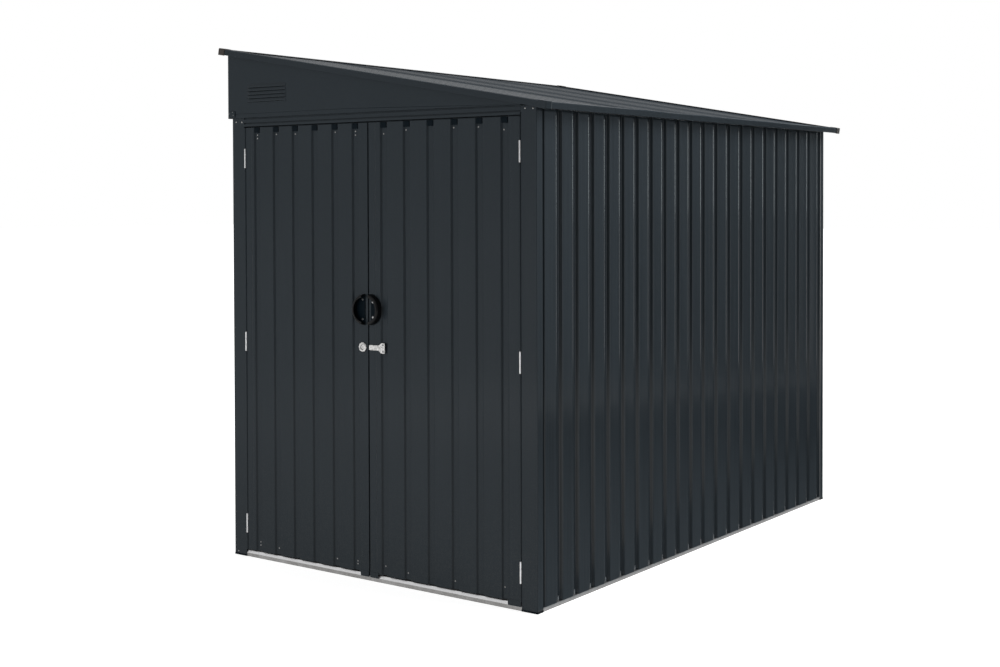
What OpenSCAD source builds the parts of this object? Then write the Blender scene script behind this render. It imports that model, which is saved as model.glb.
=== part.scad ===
// Motorcycle garage: ribbed steel shed with a pent roof and a pair of side-hung doors.
// Front is -Y, the high side is -X, the eaves are at +X, up is +Z, all sizes in millimetres.

/* [Building] */
// Width across the front, over the wall faces
shed_width = 1520; // [1200:10:2000]
// Depth from the front face to the back face
shed_depth = 2440; // [1800:10:3200]
// Height of the ribbed side walls
wall_height = 1780; // [1500:10:2200]
// Height of the roof's top surface over the low side wall
roof_low_height = 1810.4; // [1800:0.1:2300]
// Fall of the roof from the high side to the eaves, in degrees
roof_pitch = 9.9; // [5:0.1:12]

/* [Roof edges] */
// Overhang of the roof beyond the side walls
side_overhang = 55; // [30:5:120]
// Overhang of the roof beyond the front face
front_overhang = 20; // [12:1:60]
// Overhang of the roof beyond the back face
back_overhang = 65; // [12:1:80]
// Height of the trim round the roof's edge
trim_height = 24; // [22:1:45]
// Width of the trim's top flange
trim_flange = 24; // [15:1:40]
// Length of each plastic corner cap along the trim
cap_length = 34; // [20:1:60]
// How far a corner cap stands proud of the trim it covers
cap_proud = 2; // [0.5:0.5:5]

/* [Ribbed sheets] */
// Thickness of the sheets as modelled
sheet_t = 1.2; // [1:0.1:2]
// Depth of the grooves
groove_depth = 12; // [8:1:16]
// Width of a groove at its mouth
groove_mouth = 34; // [26:1:40]
// Width of a groove at its floor
groove_floor = 24; // [16:1:25]
// Grooves in the front sheet of each side wall
front_grooves = 11; // [6:1:16]
// Grooves in the rear sheet of each side wall
rear_grooves = 10; // [6:1:16]
// Grooves across the back wall
back_grooves = 13; // [9:1:17]
// Grooves in each door leaf
door_grooves = 6; // [4:1:8]
// Flat strip between a leaf's outermost groove and its stile
door_margin = 12; // [6:1:30]
// Extra flat strip at the meeting edge of the right leaf
meeting_strip = 11; // [0:1:30]
// Grooves in each of the three roof sheets
roof_grooves = 7; // [5:1:9]

/* [Frame] */
// Thickness of folded posts, rails and trims
fold_t = 1.5; // [1.5:0.1:2.5]
// Width of a corner post on the front and back faces
post_face = 68; // [50:1:90]
// Width of a corner post's return on the side faces
post_return = 36; // [25:1:50]
// Height of the base rails behind the sheets
rail_height = 60; // [40:1:90]
// Depth of the base rails from the wall face inwards
rail_depth = 46; // [40:1:70]
// Height of the lip that shows under the wall sheets
rail_lip = 14; // [8:1:25]
// Height of the door sill
sill_height = 25; // [15:1:35]
// Height of the middle rails above the ground
mid_rail_z = 885; // [600:5:1200]
// Radius of each ground-anchor hole
anchor_r = 5.5; // [4:0.5:8]
// Distance of the anchor holes from the front and back faces
anchor_inset = 240; // [150:10:400]
// Distance of the anchor holes from the wall sheets, inwards
anchor_side = 17; // [12:1:22]

/* [Gable] */
// Height of the gable panel's lower edge
gable_bottom = 1795; // [1700:5:1900]
// How far the upper box stands proud of the high wall
fascia_proud = 20; // [10:1:30]
// How far the gable panel stands proud of the posts
gable_proud = 4; // [2:0.5:8]
// Height of the header's lower edge above the ground
header_bottom = 1760; // [1600:5:1800]
// Height of the header's projecting lip
header_lip = 10; // [6:1:16]
// Width of the louvre vent
vent_width = 220; // [150:5:300]
// Height of the louvre vent
vent_height = 76; // [50:1:100]
// Distance of the vent from the high wall's face
vent_side = 92; // [60:1:200]
// Height of the vent's lower edge
vent_bottom = 1856; // [1840:1:1900]
// Number of louvre blades
vent_blades = 5; // [3:1:6]
// Width of the frame round the blades
vent_border = 9; // [6:1:14]
// How far the blades stand out from the frame
blade_out = 6; // [3:0.5:10]
// Thickness of a blade's sheet
blade_t = 1.5; // [1:0.1:2]

/* [Doors] */
// Gap between a post and its leaf, which holds the hinge barrels
hinge_gap = 9; // [8:0.5:14]
// Gap between the two leaves
leaf_gap = 6; // [5:0.5:10]
// Place of the gap between the leaves, measured from the middle
leaf_split = -23; // [-100:1:100]
// Clearance over and under the leaves
leaf_clearance = 5; // [5:0.5:10]
// Depth of the leaf's frame
leaf_depth = 30; // [20:1:40]
// Face width of the leaf's stiles
stile_face = 34; // [25:1:45]
// Height of the leaf's top, middle and bottom rails
leaf_rail = 46; // [30:1:60]
// Height of the bottom rail that shows under the sheet
leaf_rail_show = 8; // [4:1:15]
// How far each leaf opens, in degrees
door_swing = 115; // [90:5:120]

/* [Hinges] */
// Radius of a hinge barrel
barrel_r = 3.5; // [3:0.1:4]
// Radius of a hinge pin
pin_r = 2; // [1.5:0.1:2.5]
// Running clearance round a hinge pin
pin_clearance = 0.1; // [0.05:0.01:0.1]
// Length of a hinge
hinge_length = 80; // [60:1:120]
// Width of each hinge plate inside the gap
hinge_plate = 24; // [15:1:28]
// Clearance between a hinge plate and the leaf's knuckle
plate_clearance = 0.5; // [0.3:0.1:1]
// Height of the lowest hinge's middle
hinge_low_z = 137; // [100:1:300]
// Height of the highest hinge's middle
hinge_high_z = 1631; // [1400:1:1680]

/* [Handles and lock] */
// Height of the middle of the handles
handle_z = 1042; // [900:1:1200]
// Radius of a handle's round side
handle_r = 61; // [50:1:75]
// Width of a handle, from its straight side to its round side
handle_width = 54; // [45:1:70]
// How far a handle stands out from its leaf
handle_out = 26; // [20:1:45]
// Thickness of a handle's plastic
handle_t = 3; // [2:0.5:4]
// Width of the lip round a handle's open dish
handle_lip = 10; // [8:1:30]
// How far a handle's wall leans in from its foot to its lip
handle_lean = 4; // [0:0.5:10]
// Width of the slanted edge between a handle's wall and lip
handle_bevel = 4; // [2:0.5:6]
// Distance of a handle's straight side from the edge of its leaf
handle_offset = 12; // [8:1:20]
// Distance between a handle's two screws
handle_screws = 60; // [50:1:80]
// Distance of the screws from the straight side
screw_inset = 14; // [8:1:20]
// Height of the middle of the lock fittings
lock_z = 897; // [750:1:1000]
// Radius of the round lock rose
rose_r = 19; // [14:1:25]
// Thickness of the lock rose
rose_t = 6; // [4:0.5:10]
// Radius of the recess in the lock rose
rose_recess_r = 10; // [5:0.5:12]
// Distance of the rose's rim from the meeting edge of its leaf
rose_edge = 6; // [3:0.5:12]
// Length of the lock bar
bar_length = 78; // [50:1:100]
// Height of the lock bar
bar_height = 20; // [14:1:30]
// Thickness of the lock bar
bar_t = 4; // [3:0.5:8]
// Height of the lock bar's flared end
bar_flare = 40; // [30:1:60]
// Length of the lock bar's flared end
bar_end = 16; // [12:1:24]
// Length of the taper from the bar to its flared end
bar_taper = 14; // [8:1:20]
// Distance of the bar from the meeting edge of its leaf
bar_edge = 2; // [1:0.5:6]
// Radius of the screw holes in the fittings
screw_r = 2.2; // [1.5:0.1:3]

/* [Hidden] */

$fn = 48;
anthracite = "#3b444b";
zinc = "#b9bdc0";
seam = 0.2;        // clearance between fixed pieces that butt or lap
eps = 0.01;

// Overall box, centred on the origin in plan
half_w = shed_width / 2;
post_inner = half_w - post_face;
front_reach = max(front_overhang + cap_proud, handle_out);
front_y = -(shed_depth + back_overhang + cap_proud - front_reach) / 2;
back_y = front_y + shed_depth;
roof_front_y = front_y - front_overhang;
roof_back_y = back_y + back_overhang;

// Roof plane: local x runs down the slope, local z stands square to the roof
roof_half = (half_w + side_overhang) / cos(roof_pitch);
roof_sheet_drop = 5;                                   // top of the ribs under the trim's top
roof_stack = roof_sheet_drop + groove_depth + sheet_t; // trim top to the sheet's underside
purlin_h = 30;                                         // height of the channels under the roof
purlin_w = 40;                                         // width of the channels under the roof
rail_swing = (roof_stack + purlin_h) * tan(roof_pitch); // how far a channel's foot leans uphill

// Doors
leaf_edge = post_inner - hinge_gap;
pin_x = post_inner - hinge_gap / 2;
pin_y = front_y;
left_leaf_x = [-leaf_edge, leaf_split - leaf_gap / 2];
right_leaf_x = [leaf_split + leaf_gap / 2, leaf_edge];
leaf_z = [sill_height + leaf_clearance, header_bottom - leaf_clearance];
hinge_zs = [hinge_low_z, (hinge_low_z + hinge_high_z) / 2, hinge_high_z];
web_lean = (groove_mouth - groove_floor) / 2;
web_angle = atan2(groove_depth, web_lean);
miter = sheet_t * tan(web_angle / 2);

// Height of the roof's top surface at the middle, and at a given place across the width
roof_mid_height = roof_low_height + shed_width / 2 * tan(roof_pitch);
function roof_z(x) = roof_mid_height - x * tan(roof_pitch);
// Height of the roof sheet's underside, less a seam
function under_roof_z(x) = roof_z(x) - (roof_stack + seam) / cos(roof_pitch);

// Outline of one ribbed sheet seen from above: face at y = 0, grooves towards +y
function groove_edge(c, side, back) = [
    [c + side * groove_mouth / 2 + back * side * miter, back * sheet_t],
    [c + side * groove_floor / 2 + back * side * miter, groove_depth + back * sheet_t]
];
function sheet_path(centres, back) = [
    for (c = centres)
        for (p = [
            groove_edge(c, -1, back)[0], groove_edge(c, -1, back)[1],
            groove_edge(c, 1, back)[1], groove_edge(c, 1, back)[0]
        ]) p
];
function reversed(points) = [for (i = [len(points) - 1 : -1 : 0]) points[i]];

// Flat ribbed sheet standing on z = 0, from x = 0 to x = width
module ribbed_sheet(width, height, centres) {
    linear_extrude(height)
        polygon(concat(
            [[0, 0]], sheet_path(centres, 0), [[width, 0], [width, sheet_t]],
            reversed(sheet_path(centres, 1)), [[0, sheet_t]]
        ));
}

// Evenly spaced groove centres between two margins
function spaced(first, last, count) = [for (i = [0 : count - 1]) first + (last - first) * i / (count - 1)];

// Moves its children from the roof's own plane to its place
module on_roof() {
    translate([0, 0, roof_mid_height]) rotate([0, roof_pitch, 0]) children();
}

module box(low, high) {
    translate(low) cube(high - low);
}

// ---- Base frame -----------------------------------------------------------

// Section of a base rail: x = 0 is the wall face, inwards is -x
module base_rail_section() {
    back_x = -(groove_depth + sheet_t + seam);
    translate([-rail_depth, 0]) square([rail_depth, fold_t]);
    translate([-fold_t, 0]) square([fold_t, rail_lip]);
    translate([back_x - fold_t, rail_lip - fold_t]) square([-back_x + fold_t, fold_t]);
    translate([back_x - fold_t, rail_lip - fold_t]) square([fold_t, rail_height - rail_lip + fold_t]);
    translate([-rail_depth, rail_height - fold_t]) square([rail_depth + back_x, fold_t]);
    translate([-rail_depth, 0]) square([fold_t, rail_height]);
}

// A base rail along +y with its wall face at x = 0
module base_rail(length) {
    rotate([90, 0, 0]) mirror([0, 0, 1]) linear_extrude(length) base_rail_section();
}

side_rail_length = shed_depth - 2 * (fold_t + seam);
anchor_x = half_w - groove_depth - sheet_t - fold_t - anchor_side;

module side_rail() {
    difference() {
        translate([half_w - fold_t - seam, front_y + fold_t + seam, 0]) base_rail(side_rail_length);
        for (y = [front_y + anchor_inset, back_y - anchor_inset])
            translate([anchor_x, y, -eps]) cylinder(r = anchor_r, h = fold_t + 2 * eps);
    }
}

module base_rail_right() {
    color(zinc) side_rail();
}

module base_rail_left() {
    color(zinc) mirror([1, 0, 0]) side_rail();
}

end_rail_half = post_inner - seam;

module base_rail_back() {
    color(zinc)
        translate([end_rail_half, back_y - fold_t - seam, 0]) rotate([0, 0, 90])
            base_rail(2 * end_rail_half);
}

// The door sill: a low inverted channel that a wheel can roll over
module base_rail_front() {
    color(zinc) difference() {
        box([-end_rail_half, front_y + fold_t + seam, 0],
            [end_rail_half, front_y + rail_depth, sill_height]);
        box([-end_rail_half - eps, front_y + 2 * fold_t + seam, -eps],
            [end_rail_half + eps, front_y + rail_depth - fold_t, sill_height - fold_t]);
    }
}

// ---- Corner posts ---------------------------------------------------------

// Angle section with its corner at the origin, running along +x and +y
module post_angle(height) {
    linear_extrude(height) {
        square([post_face, fold_t]);
        square([fold_t, post_return]);
        translate([post_face - fold_t, 0]) square([fold_t, post_return]);
    }
}

post_right_height = under_roof_z(half_w);
post_left_height = gable_bottom - seam;

module corner_post_front_right() {
    color(anthracite) translate([half_w, front_y, 0]) mirror([1, 0, 0]) post_angle(post_right_height);
}

module corner_post_front_left() {
    color(anthracite) translate([-half_w, front_y, 0]) post_angle(post_left_height);
}

module corner_post_back_right() {
    color(anthracite) translate([half_w, back_y, 0]) rotate([0, 0, 180]) post_angle(post_right_height);
}

module corner_post_back_left() {
    color(anthracite)
        translate([-half_w, back_y, 0]) mirror([0, 1, 0]) post_angle(post_left_height);
}

// ---- Wall sheets ----------------------------------------------------------

side_start = front_y + post_return + seam;
side_length = shed_depth - 2 * (post_return + seam);
front_share = 0.522;      // share of a side wall's length that its front sheet covers
end_strip = 2;            // flat strip between the last groove and the rear post
front_sheet_length = side_length * front_share;
rear_sheet_length = side_length - front_sheet_length;
front_pitch = front_sheet_length / (front_grooves + 0.5);
rear_pitch = (rear_sheet_length - groove_mouth / 2 - end_strip) / (rear_grooves - 0.5);

// Side sheets in a frame where x runs along the depth and the face looks to -y
module side_front_sheet(top) {
    ribbed_sheet(front_sheet_length - seam, top - rail_lip - seam,
        [for (i = [1 : front_grooves]) i * front_pitch]);
}

module side_rear_sheet(top) {
    translate([front_sheet_length, 0, 0])
        ribbed_sheet(rear_sheet_length, top - rail_lip - seam,
            [for (i = [0 : rear_grooves - 1]) (i + 0.5) * rear_pitch]);
}

module on_right_wall() {
    translate([half_w, side_start, rail_lip + seam]) rotate([0, 0, 90]) children();
}

module right_wall_front_sheet() {
    color(anthracite) on_right_wall() side_front_sheet(wall_height);
}

module right_wall_rear_sheet() {
    color(anthracite) on_right_wall() side_rear_sheet(wall_height);
}

module left_wall_front_sheet() {
    color(anthracite) mirror([1, 0, 0]) on_right_wall() side_front_sheet(gable_bottom - seam);
}

module left_wall_rear_sheet() {
    color(anthracite) mirror([1, 0, 0]) on_right_wall() side_rear_sheet(gable_bottom - seam);
}

back_sheet_half = half_w - post_face - seam;
back_pitch = 2 * back_sheet_half / back_grooves;

module back_wall_sheet() {
    color(anthracite)
        translate([back_sheet_half, back_y, rail_lip + seam]) rotate([0, 0, 180])
            ribbed_sheet(2 * back_sheet_half, gable_bottom - rail_lip - 2 * seam,
                [for (i = [0 : back_grooves - 1]) (i + 0.5) * back_pitch]);
}

// Channel rails that stiffen the sheets inside, half-way up
mid_rail_h = 40;
mid_rail_d = 25;

module middle_rail(length) {
    x = -(groove_depth + sheet_t + seam);
    translate([x, 0, mid_rail_z]) rotate([90, 0, 0]) mirror([0, 0, 1]) linear_extrude(length) {
        translate([-fold_t, 0]) square([fold_t, mid_rail_h]);
        translate([-mid_rail_d, 0]) square([mid_rail_d, fold_t]);
        translate([-mid_rail_d, mid_rail_h - fold_t]) square([mid_rail_d, fold_t]);
    }
}

module middle_rails() {
    color(zinc) {
        for (m = [0, 1])
            mirror([m, 0, 0]) translate([half_w, side_start, 0]) middle_rail(side_length);
        translate([back_sheet_half, back_y, 0]) rotate([0, 0, 90]) middle_rail(2 * back_sheet_half);
    }
}

// ---- Header, gables and fascia ---------------------------------------------

module door_header() {
    color(anthracite) difference() {
        union() {
            box([-end_rail_half, front_y, header_bottom],
                [end_rail_half, front_y + leaf_depth, gable_bottom - seam]);
            box([-end_rail_half, front_y - gable_proud, header_bottom],
                [end_rail_half, front_y, header_bottom + header_lip]);
        }
        box([-half_w, front_y + fold_t, header_bottom + fold_t],
            [half_w, front_y + leaf_depth + eps, gable_bottom]);
    }
}

// Trapezoid panel under the roof, from x0 to x1, with its face looking to -y
module gable_panel(x0, x1) {
    rotate([90, 0, 0]) mirror([0, 0, 1]) linear_extrude(fold_t)
        polygon([[x0, gable_bottom], [x1, gable_bottom], [x1, under_roof_z(x1)], [x0, under_roof_z(x0)]]);
}

vent_x = -half_w + vent_side;

module front_gable() {
    color(anthracite) difference() {
        union() {
            translate([0, front_y - gable_proud, 0]) gable_panel(-half_w - fascia_proud, post_inner - seam);
            box([-half_w - fascia_proud, front_y - gable_proud, gable_bottom],
                [post_inner - seam, front_y + leaf_depth, gable_bottom + fold_t]);
        }
        box([vent_x + vent_border, front_y - gable_proud - eps, vent_bottom + vent_border],
            [vent_x + vent_width - vent_border, front_y, vent_bottom + vent_height - vent_border]);
    }
}

module back_gable() {
    color(anthracite)
        translate([0, back_y + gable_proud, 0]) mirror([0, 1, 0]) {
            gable_panel(-half_w - fascia_proud, post_inner - seam);
            box([-half_w - fascia_proud, 0, gable_bottom],
                [post_inner - seam, gable_proud + leaf_depth, gable_bottom + fold_t]);
        }
}

// Louvre vent: a thin frame with blades that slope outwards and down
module front_vent() {
    blade_pitch = (vent_height - 2 * vent_border) / vent_blades;
    blade_length = vent_width - 2 * (vent_border - blade_t);
    tip = -fold_t - blade_out;
    color(anthracite) translate([vent_x, front_y - gable_proud - seam, vent_bottom]) {
        difference() {
            box([0, -fold_t, 0], [vent_width, 0, vent_height]);
            box([vent_border, -fold_t - eps, vent_border],
                [vent_width - vent_border, eps, vent_height - vent_border]);
        }
        for (i = [0 : vent_blades - 1])
            translate([vent_border - blade_t, 0, vent_border + i * blade_pitch]) rotate([90, 0, 90])
                linear_extrude(blade_length)
                    polygon([[tip, seam], [tip, seam + blade_t],
                        [0, blade_pitch - seam], [0, blade_pitch - seam - blade_t]]);
    }
}

// Tall strip that closes the high side above its wall sheets
module high_side_fascia() {
    x0 = -half_w - fascia_proud;
    y0 = front_y - gable_proud + fold_t + seam;
    y1 = back_y + gable_proud - fold_t - seam;
    color(anthracite) {
        rotate([90, 0, 0]) mirror([0, 0, 1]) translate([0, 0, y0]) linear_extrude(y1 - y0)
            polygon([[x0, gable_bottom + fold_t + seam], [x0 + fold_t, gable_bottom + fold_t + seam],
                [x0 + fold_t, under_roof_z(x0 + fold_t)], [x0, under_roof_z(x0)]]);
        box([x0, y0, gable_bottom + fold_t + seam],
            [-half_w + fold_t, y1, gable_bottom + 2 * fold_t + seam]);
    }
}

// ---- Roof -----------------------------------------------------------------

// Channel under the roof sheets along the depth, at a place along the slope
module roof_channel(x, inset) {
    y0 = front_y + inset + seam;
    y1 = back_y - inset - seam;
    color(zinc) on_roof() difference() {
        box([x - purlin_w / 2, y0, -roof_stack - purlin_h], [x + purlin_w / 2, y1, -roof_stack - seam]);
        box([x - purlin_w / 2 + fold_t, y0 - eps, -roof_stack - purlin_h - eps],
            [x + purlin_w / 2 - fold_t, y1 + eps, -roof_stack - seam - fold_t]);
    }
}

low_rail_tuck = 3.2; // how far the low rail's foot lies inwards of the posts' inner flanges

module top_rail_low() {
    foot = post_inner - low_rail_tuck + (roof_stack + purlin_h) * sin(roof_pitch);
    roof_channel(foot / cos(roof_pitch) + purlin_w / 2, post_return);
}

module top_rail_high() {
    wall = (half_w + fascia_proud - fold_t - seam) / cos(roof_pitch);
    roof_channel(purlin_w / 2 + rail_swing + seam - wall, fold_t);
}

module roof_purlin() {
    roof_channel(0, fold_t);
}

roof_length = roof_back_y - roof_front_y - 2 * (fold_t + seam);
roof_sheet_width = roof_length / 3;
roof_sheet_run = 2 * (roof_half - fold_t - seam);

// Roof sheet number i, counted from the front, with its grooves down the slope
module roof_sheet(i) {
    pitch = roof_sheet_width / roof_grooves;
    start_y = roof_front_y + fold_t + seam + i * roof_sheet_width;
    color(anthracite) on_roof()
        translate([roof_sheet_run / 2, start_y, -roof_sheet_drop]) rotate([0, -90, 0]) rotate([0, 0, 90])
            ribbed_sheet(roof_sheet_width - seam, roof_sheet_run,
                [for (k = [0 : roof_grooves - 1]) (k + 0.5) * pitch]);
}

module roof_sheet_front() {
    roof_sheet(0);
}

module roof_sheet_middle() {
    roof_sheet(1);
}

module roof_sheet_rear() {
    roof_sheet(2);
}

trim_return = 6; // width of the fold under a trim's outer face

// Trim section: an angle over the roof's edge with its outer face at x = 0
module trim_section() {
    translate([-trim_flange, -fold_t]) square([trim_flange, fold_t]);
    translate([-fold_t, -trim_height]) square([fold_t, trim_height]);
    translate([-fold_t - trim_return, -trim_height]) square([trim_return + fold_t, fold_t]);
}

// Trim along the depth, at the low end of the slope or mirrored at the high end
module slope_end_trim(high_end) {
    color(anthracite) on_roof() mirror([high_end, 0, 0])
        translate([roof_half, roof_front_y + cap_length + seam, 0]) rotate([90, 0, 0]) mirror([0, 0, 1])
            linear_extrude(roof_back_y - roof_front_y - 2 * (cap_length + seam)) trim_section();
}

module eave_trim() {
    slope_end_trim(0);
}

module high_edge_trim() {
    slope_end_trim(1);
}

// Trim down the slope at the back, or mirrored at the front
module verge_trim(y, front_end) {
    run = 2 * (roof_half - cap_length - seam);
    color(anthracite) on_roof() translate([0, y, 0]) mirror([0, front_end, 0])
        translate([run / 2, 0, 0]) rotate([0, 0, 90]) rotate([90, 0, 0])
            mirror([0, 0, 1]) linear_extrude(run) trim_section();
}

module verge_trim_front() {
    verge_trim(roof_front_y, 1);
}

module verge_trim_back() {
    verge_trim(roof_back_y, 0);
}

// One plastic cap over the end of two trims, with the trims' corner at the origin
module corner_cap() {
    wall = fold_t + cap_proud;
    difference() {
        box([-cap_length, -cap_length, -trim_height - cap_proud], [cap_proud, cap_proud, cap_proud]);
        box([-cap_length - eps, -cap_length - eps, -trim_height - cap_proud - eps],
            [cap_proud - wall, cap_proud - wall, cap_proud - wall]);
    }
}

module roof_corner_caps() {
    color("#3a3634") on_roof()
        for (sx = [0, 1])
            mirror([sx, 0, 0]) {
                translate([roof_half, roof_back_y, 0]) corner_cap();
                translate([roof_half, roof_front_y, 0]) mirror([0, 1, 0]) corner_cap();
            }
}

// ---- Hinges ---------------------------------------------------------------

knuckle = hinge_length / 3;

// The half of a right-hand hinge that is fixed to the post: plate, two knuckles and the pin
module post_hinge() {
    translate([pin_x, pin_y, -hinge_length / 2]) {
        for (z = [0, 2 * knuckle])
            translate([0, 0, z]) cylinder(r = barrel_r, h = knuckle - seam);
        cylinder(r = pin_r, h = hinge_length - seam);
        box([0, 0, 0], [hinge_gap / 2 - seam, barrel_r + 2 * plate_clearance, knuckle - seam]);
        box([0, 0, 2 * knuckle],
            [hinge_gap / 2 - seam, barrel_r + 2 * plate_clearance, hinge_length - seam]);
        box([hinge_gap / 2 - seam - fold_t, barrel_r + plate_clearance, 0],
            [hinge_gap / 2 - seam, hinge_plate, hinge_length - seam]);
    }
}

// The half of a right-hand hinge that turns with the leaf
module leaf_hinge() {
    translate([pin_x, pin_y, -hinge_length / 2]) difference() {
        union() {
            translate([0, 0, knuckle + seam]) cylinder(r = barrel_r, h = knuckle - 3 * seam);
            box([-hinge_gap / 2 + seam, 0, knuckle + seam], [0, barrel_r, 2 * knuckle - 2 * seam]);
        }
        cylinder(r = pin_r + pin_clearance, h = hinge_length);
    }
}

module post_hinges_right() {
    color(zinc) for (z = hinge_zs) translate([0, 0, z]) post_hinge();
}

module post_hinges_left() {
    color(zinc) mirror([1, 0, 0]) for (z = hinge_zs) translate([0, 0, z]) post_hinge();
}

module right_door_hinges() {
    color(zinc) for (z = hinge_zs) translate([0, 0, z]) leaf_hinge();
}

module left_door_hinges() {
    color(zinc) mirror([1, 0, 0]) for (z = hinge_zs) translate([0, 0, z]) leaf_hinge();
}

// ---- Door leaves ----------------------------------------------------------

stile_back = 26; // width of the stile's back flange

// Two channel stiles, one at each edge of the leaf
module leaf_stiles(span) {
    color(anthracite)
        for (side = [0, 1])
            translate([span[side], front_y, leaf_z[0]]) mirror([side, 0, 0])
                linear_extrude(leaf_z[1] - leaf_z[0]) {
                    square([stile_face, fold_t]);
                    square([fold_t, leaf_depth]);
                    translate([0, leaf_depth - fold_t]) square([stile_back, fold_t]);
                }
}

// Ribbed sheet between the stiles; strip widens the flat part before the first groove
module leaf_sheet(span, strip) {
    x0 = span[0] + stile_face + seam;
    width = span[1] - span[0] - 2 * (stile_face + seam);
    edge = groove_mouth / 2 + door_margin;
    color(anthracite)
        translate([x0, front_y, leaf_z[0] + leaf_rail_show])
            ribbed_sheet(width, leaf_z[1] - leaf_z[0] - leaf_rail_show,
                spaced(edge + strip, width - edge, door_grooves));
}

// Three channel rails behind the sheet, between the stiles
module leaf_rails(span) {
    y0 = front_y + groove_depth + sheet_t + seam;
    x0 = span[0] + fold_t + seam;
    x1 = span[1] - fold_t - seam;
    y1 = front_y + leaf_depth - fold_t - seam;
    middle = (leaf_z[0] + leaf_z[1] - leaf_rail) / 2;
    color(zinc)
        for (z = [leaf_z[0], middle, leaf_z[1] - leaf_rail])
            difference() {
                box([x0, y0, z], [x1, y1, z + leaf_rail]);
                box([x0 - eps, y0 + fold_t, z + fold_t], [x1 + eps, y1 + eps, z + leaf_rail - fold_t]);
            }
}

// Half-moon pull: an open round dish cut off square, with its straight, open side at x = 0
// and its round side towards +x. Its wall leans in and ends in a lip that fingers pull on.
module handle_pull() {
    centre = handle_width - handle_r;
    top = handle_out - seam;
    edge = handle_r - handle_lean;
    color("#1d1e20") translate([centre, front_y - seam, handle_z]) rotate([90, 0, 0]) difference() {
        intersection() {
            rotate_extrude() polygon([
                [0, 0], [handle_r, 0], [edge, top - handle_bevel], [edge - handle_bevel, top],
                [edge - handle_lip, top], [edge - handle_lip, top - handle_t],
                [edge - handle_bevel, top - handle_t], [edge - handle_t, top - handle_bevel],
                [handle_r - handle_t, handle_t], [0, handle_t]
            ]);
            box([-centre, -handle_r - eps, -eps], [handle_r + eps, handle_r + eps, handle_out]);
        }
        for (side = [-1, 1])
            translate([screw_inset - centre, side * handle_screws / 2, -eps])
                cylinder(r = screw_r, h = handle_t + 2 * eps);
    }
}

module right_door_handle() {
    translate([right_leaf_x[0] + handle_offset, 0, 0]) handle_pull();
}

module left_door_handle() {
    translate([left_leaf_x[1] - handle_offset, 0, 0]) mirror([1, 0, 0]) handle_pull();
}

// Moves its children from the plane z = 0 to the leaf's face at the lock, at a place x
module on_lock(x) {
    translate([x, front_y - seam, lock_z]) rotate([90, 0, 0]) children();
}

// Round rose with a round recess on the left leaf
module left_door_rose() {
    color(zinc) on_lock(left_leaf_x[1] - rose_r - rose_edge) difference() {
        cylinder(r = rose_r, h = rose_t);
        translate([0, 0, rose_t / 2]) cylinder(r = rose_recess_r, h = rose_t);
    }
}

// Lock bar with a flared, screwed end on the right leaf
module right_door_bar() {
    taper_x = bar_length - bar_end - bar_taper;
    end_x = bar_length - bar_end;
    color(zinc) on_lock(right_leaf_x[0] + bar_edge) difference() {
        linear_extrude(bar_t) polygon([
            [0, -bar_height / 2], [taper_x, -bar_height / 2], [end_x, -bar_flare / 2],
            [bar_length, -bar_flare / 2], [bar_length, bar_flare / 2], [end_x, bar_flare / 2],
            [taper_x, bar_height / 2], [0, bar_height / 2]
        ]);
        for (side = [-1, 1])
            translate([bar_length - bar_end / 2, side * (bar_flare / 2 - 3 * screw_r), -eps])
                cylinder(r = screw_r, h = bar_t + 2 * eps);
    }
}

module left_door_stiles() {
    leaf_stiles(left_leaf_x);
}

module left_door_sheet() {
    leaf_sheet(left_leaf_x, 0);
}

module left_door_rails() {
    leaf_rails(left_leaf_x);
}

module right_door_stiles() {
    leaf_stiles(right_leaf_x);
}

module right_door_sheet() {
    leaf_sheet(right_leaf_x, meeting_strip);
}

module right_door_rails() {
    leaf_rails(right_leaf_x);
}

base_rail_front();
base_rail_back();
base_rail_left();
base_rail_right();
corner_post_front_left();
corner_post_front_right();
corner_post_back_left();
corner_post_back_right();
left_wall_front_sheet();
left_wall_rear_sheet();
right_wall_front_sheet();
right_wall_rear_sheet();
back_wall_sheet();
middle_rails();
door_header();
front_gable();
back_gable();
front_vent();
high_side_fascia();
top_rail_high();
top_rail_low();
roof_purlin();
roof_sheet_front();
roof_sheet_middle();
roof_sheet_rear();
verge_trim_front();
verge_trim_back();
eave_trim();
high_edge_trim();
roof_corner_caps();
post_hinges_left();
post_hinges_right();
left_door_sheet();
left_door_stiles();
left_door_rails();
left_door_hinges();
left_door_handle();
left_door_rose();
right_door_sheet();
right_door_stiles();
right_door_rails();
right_door_hinges();
right_door_handle();
right_door_bar();
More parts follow.
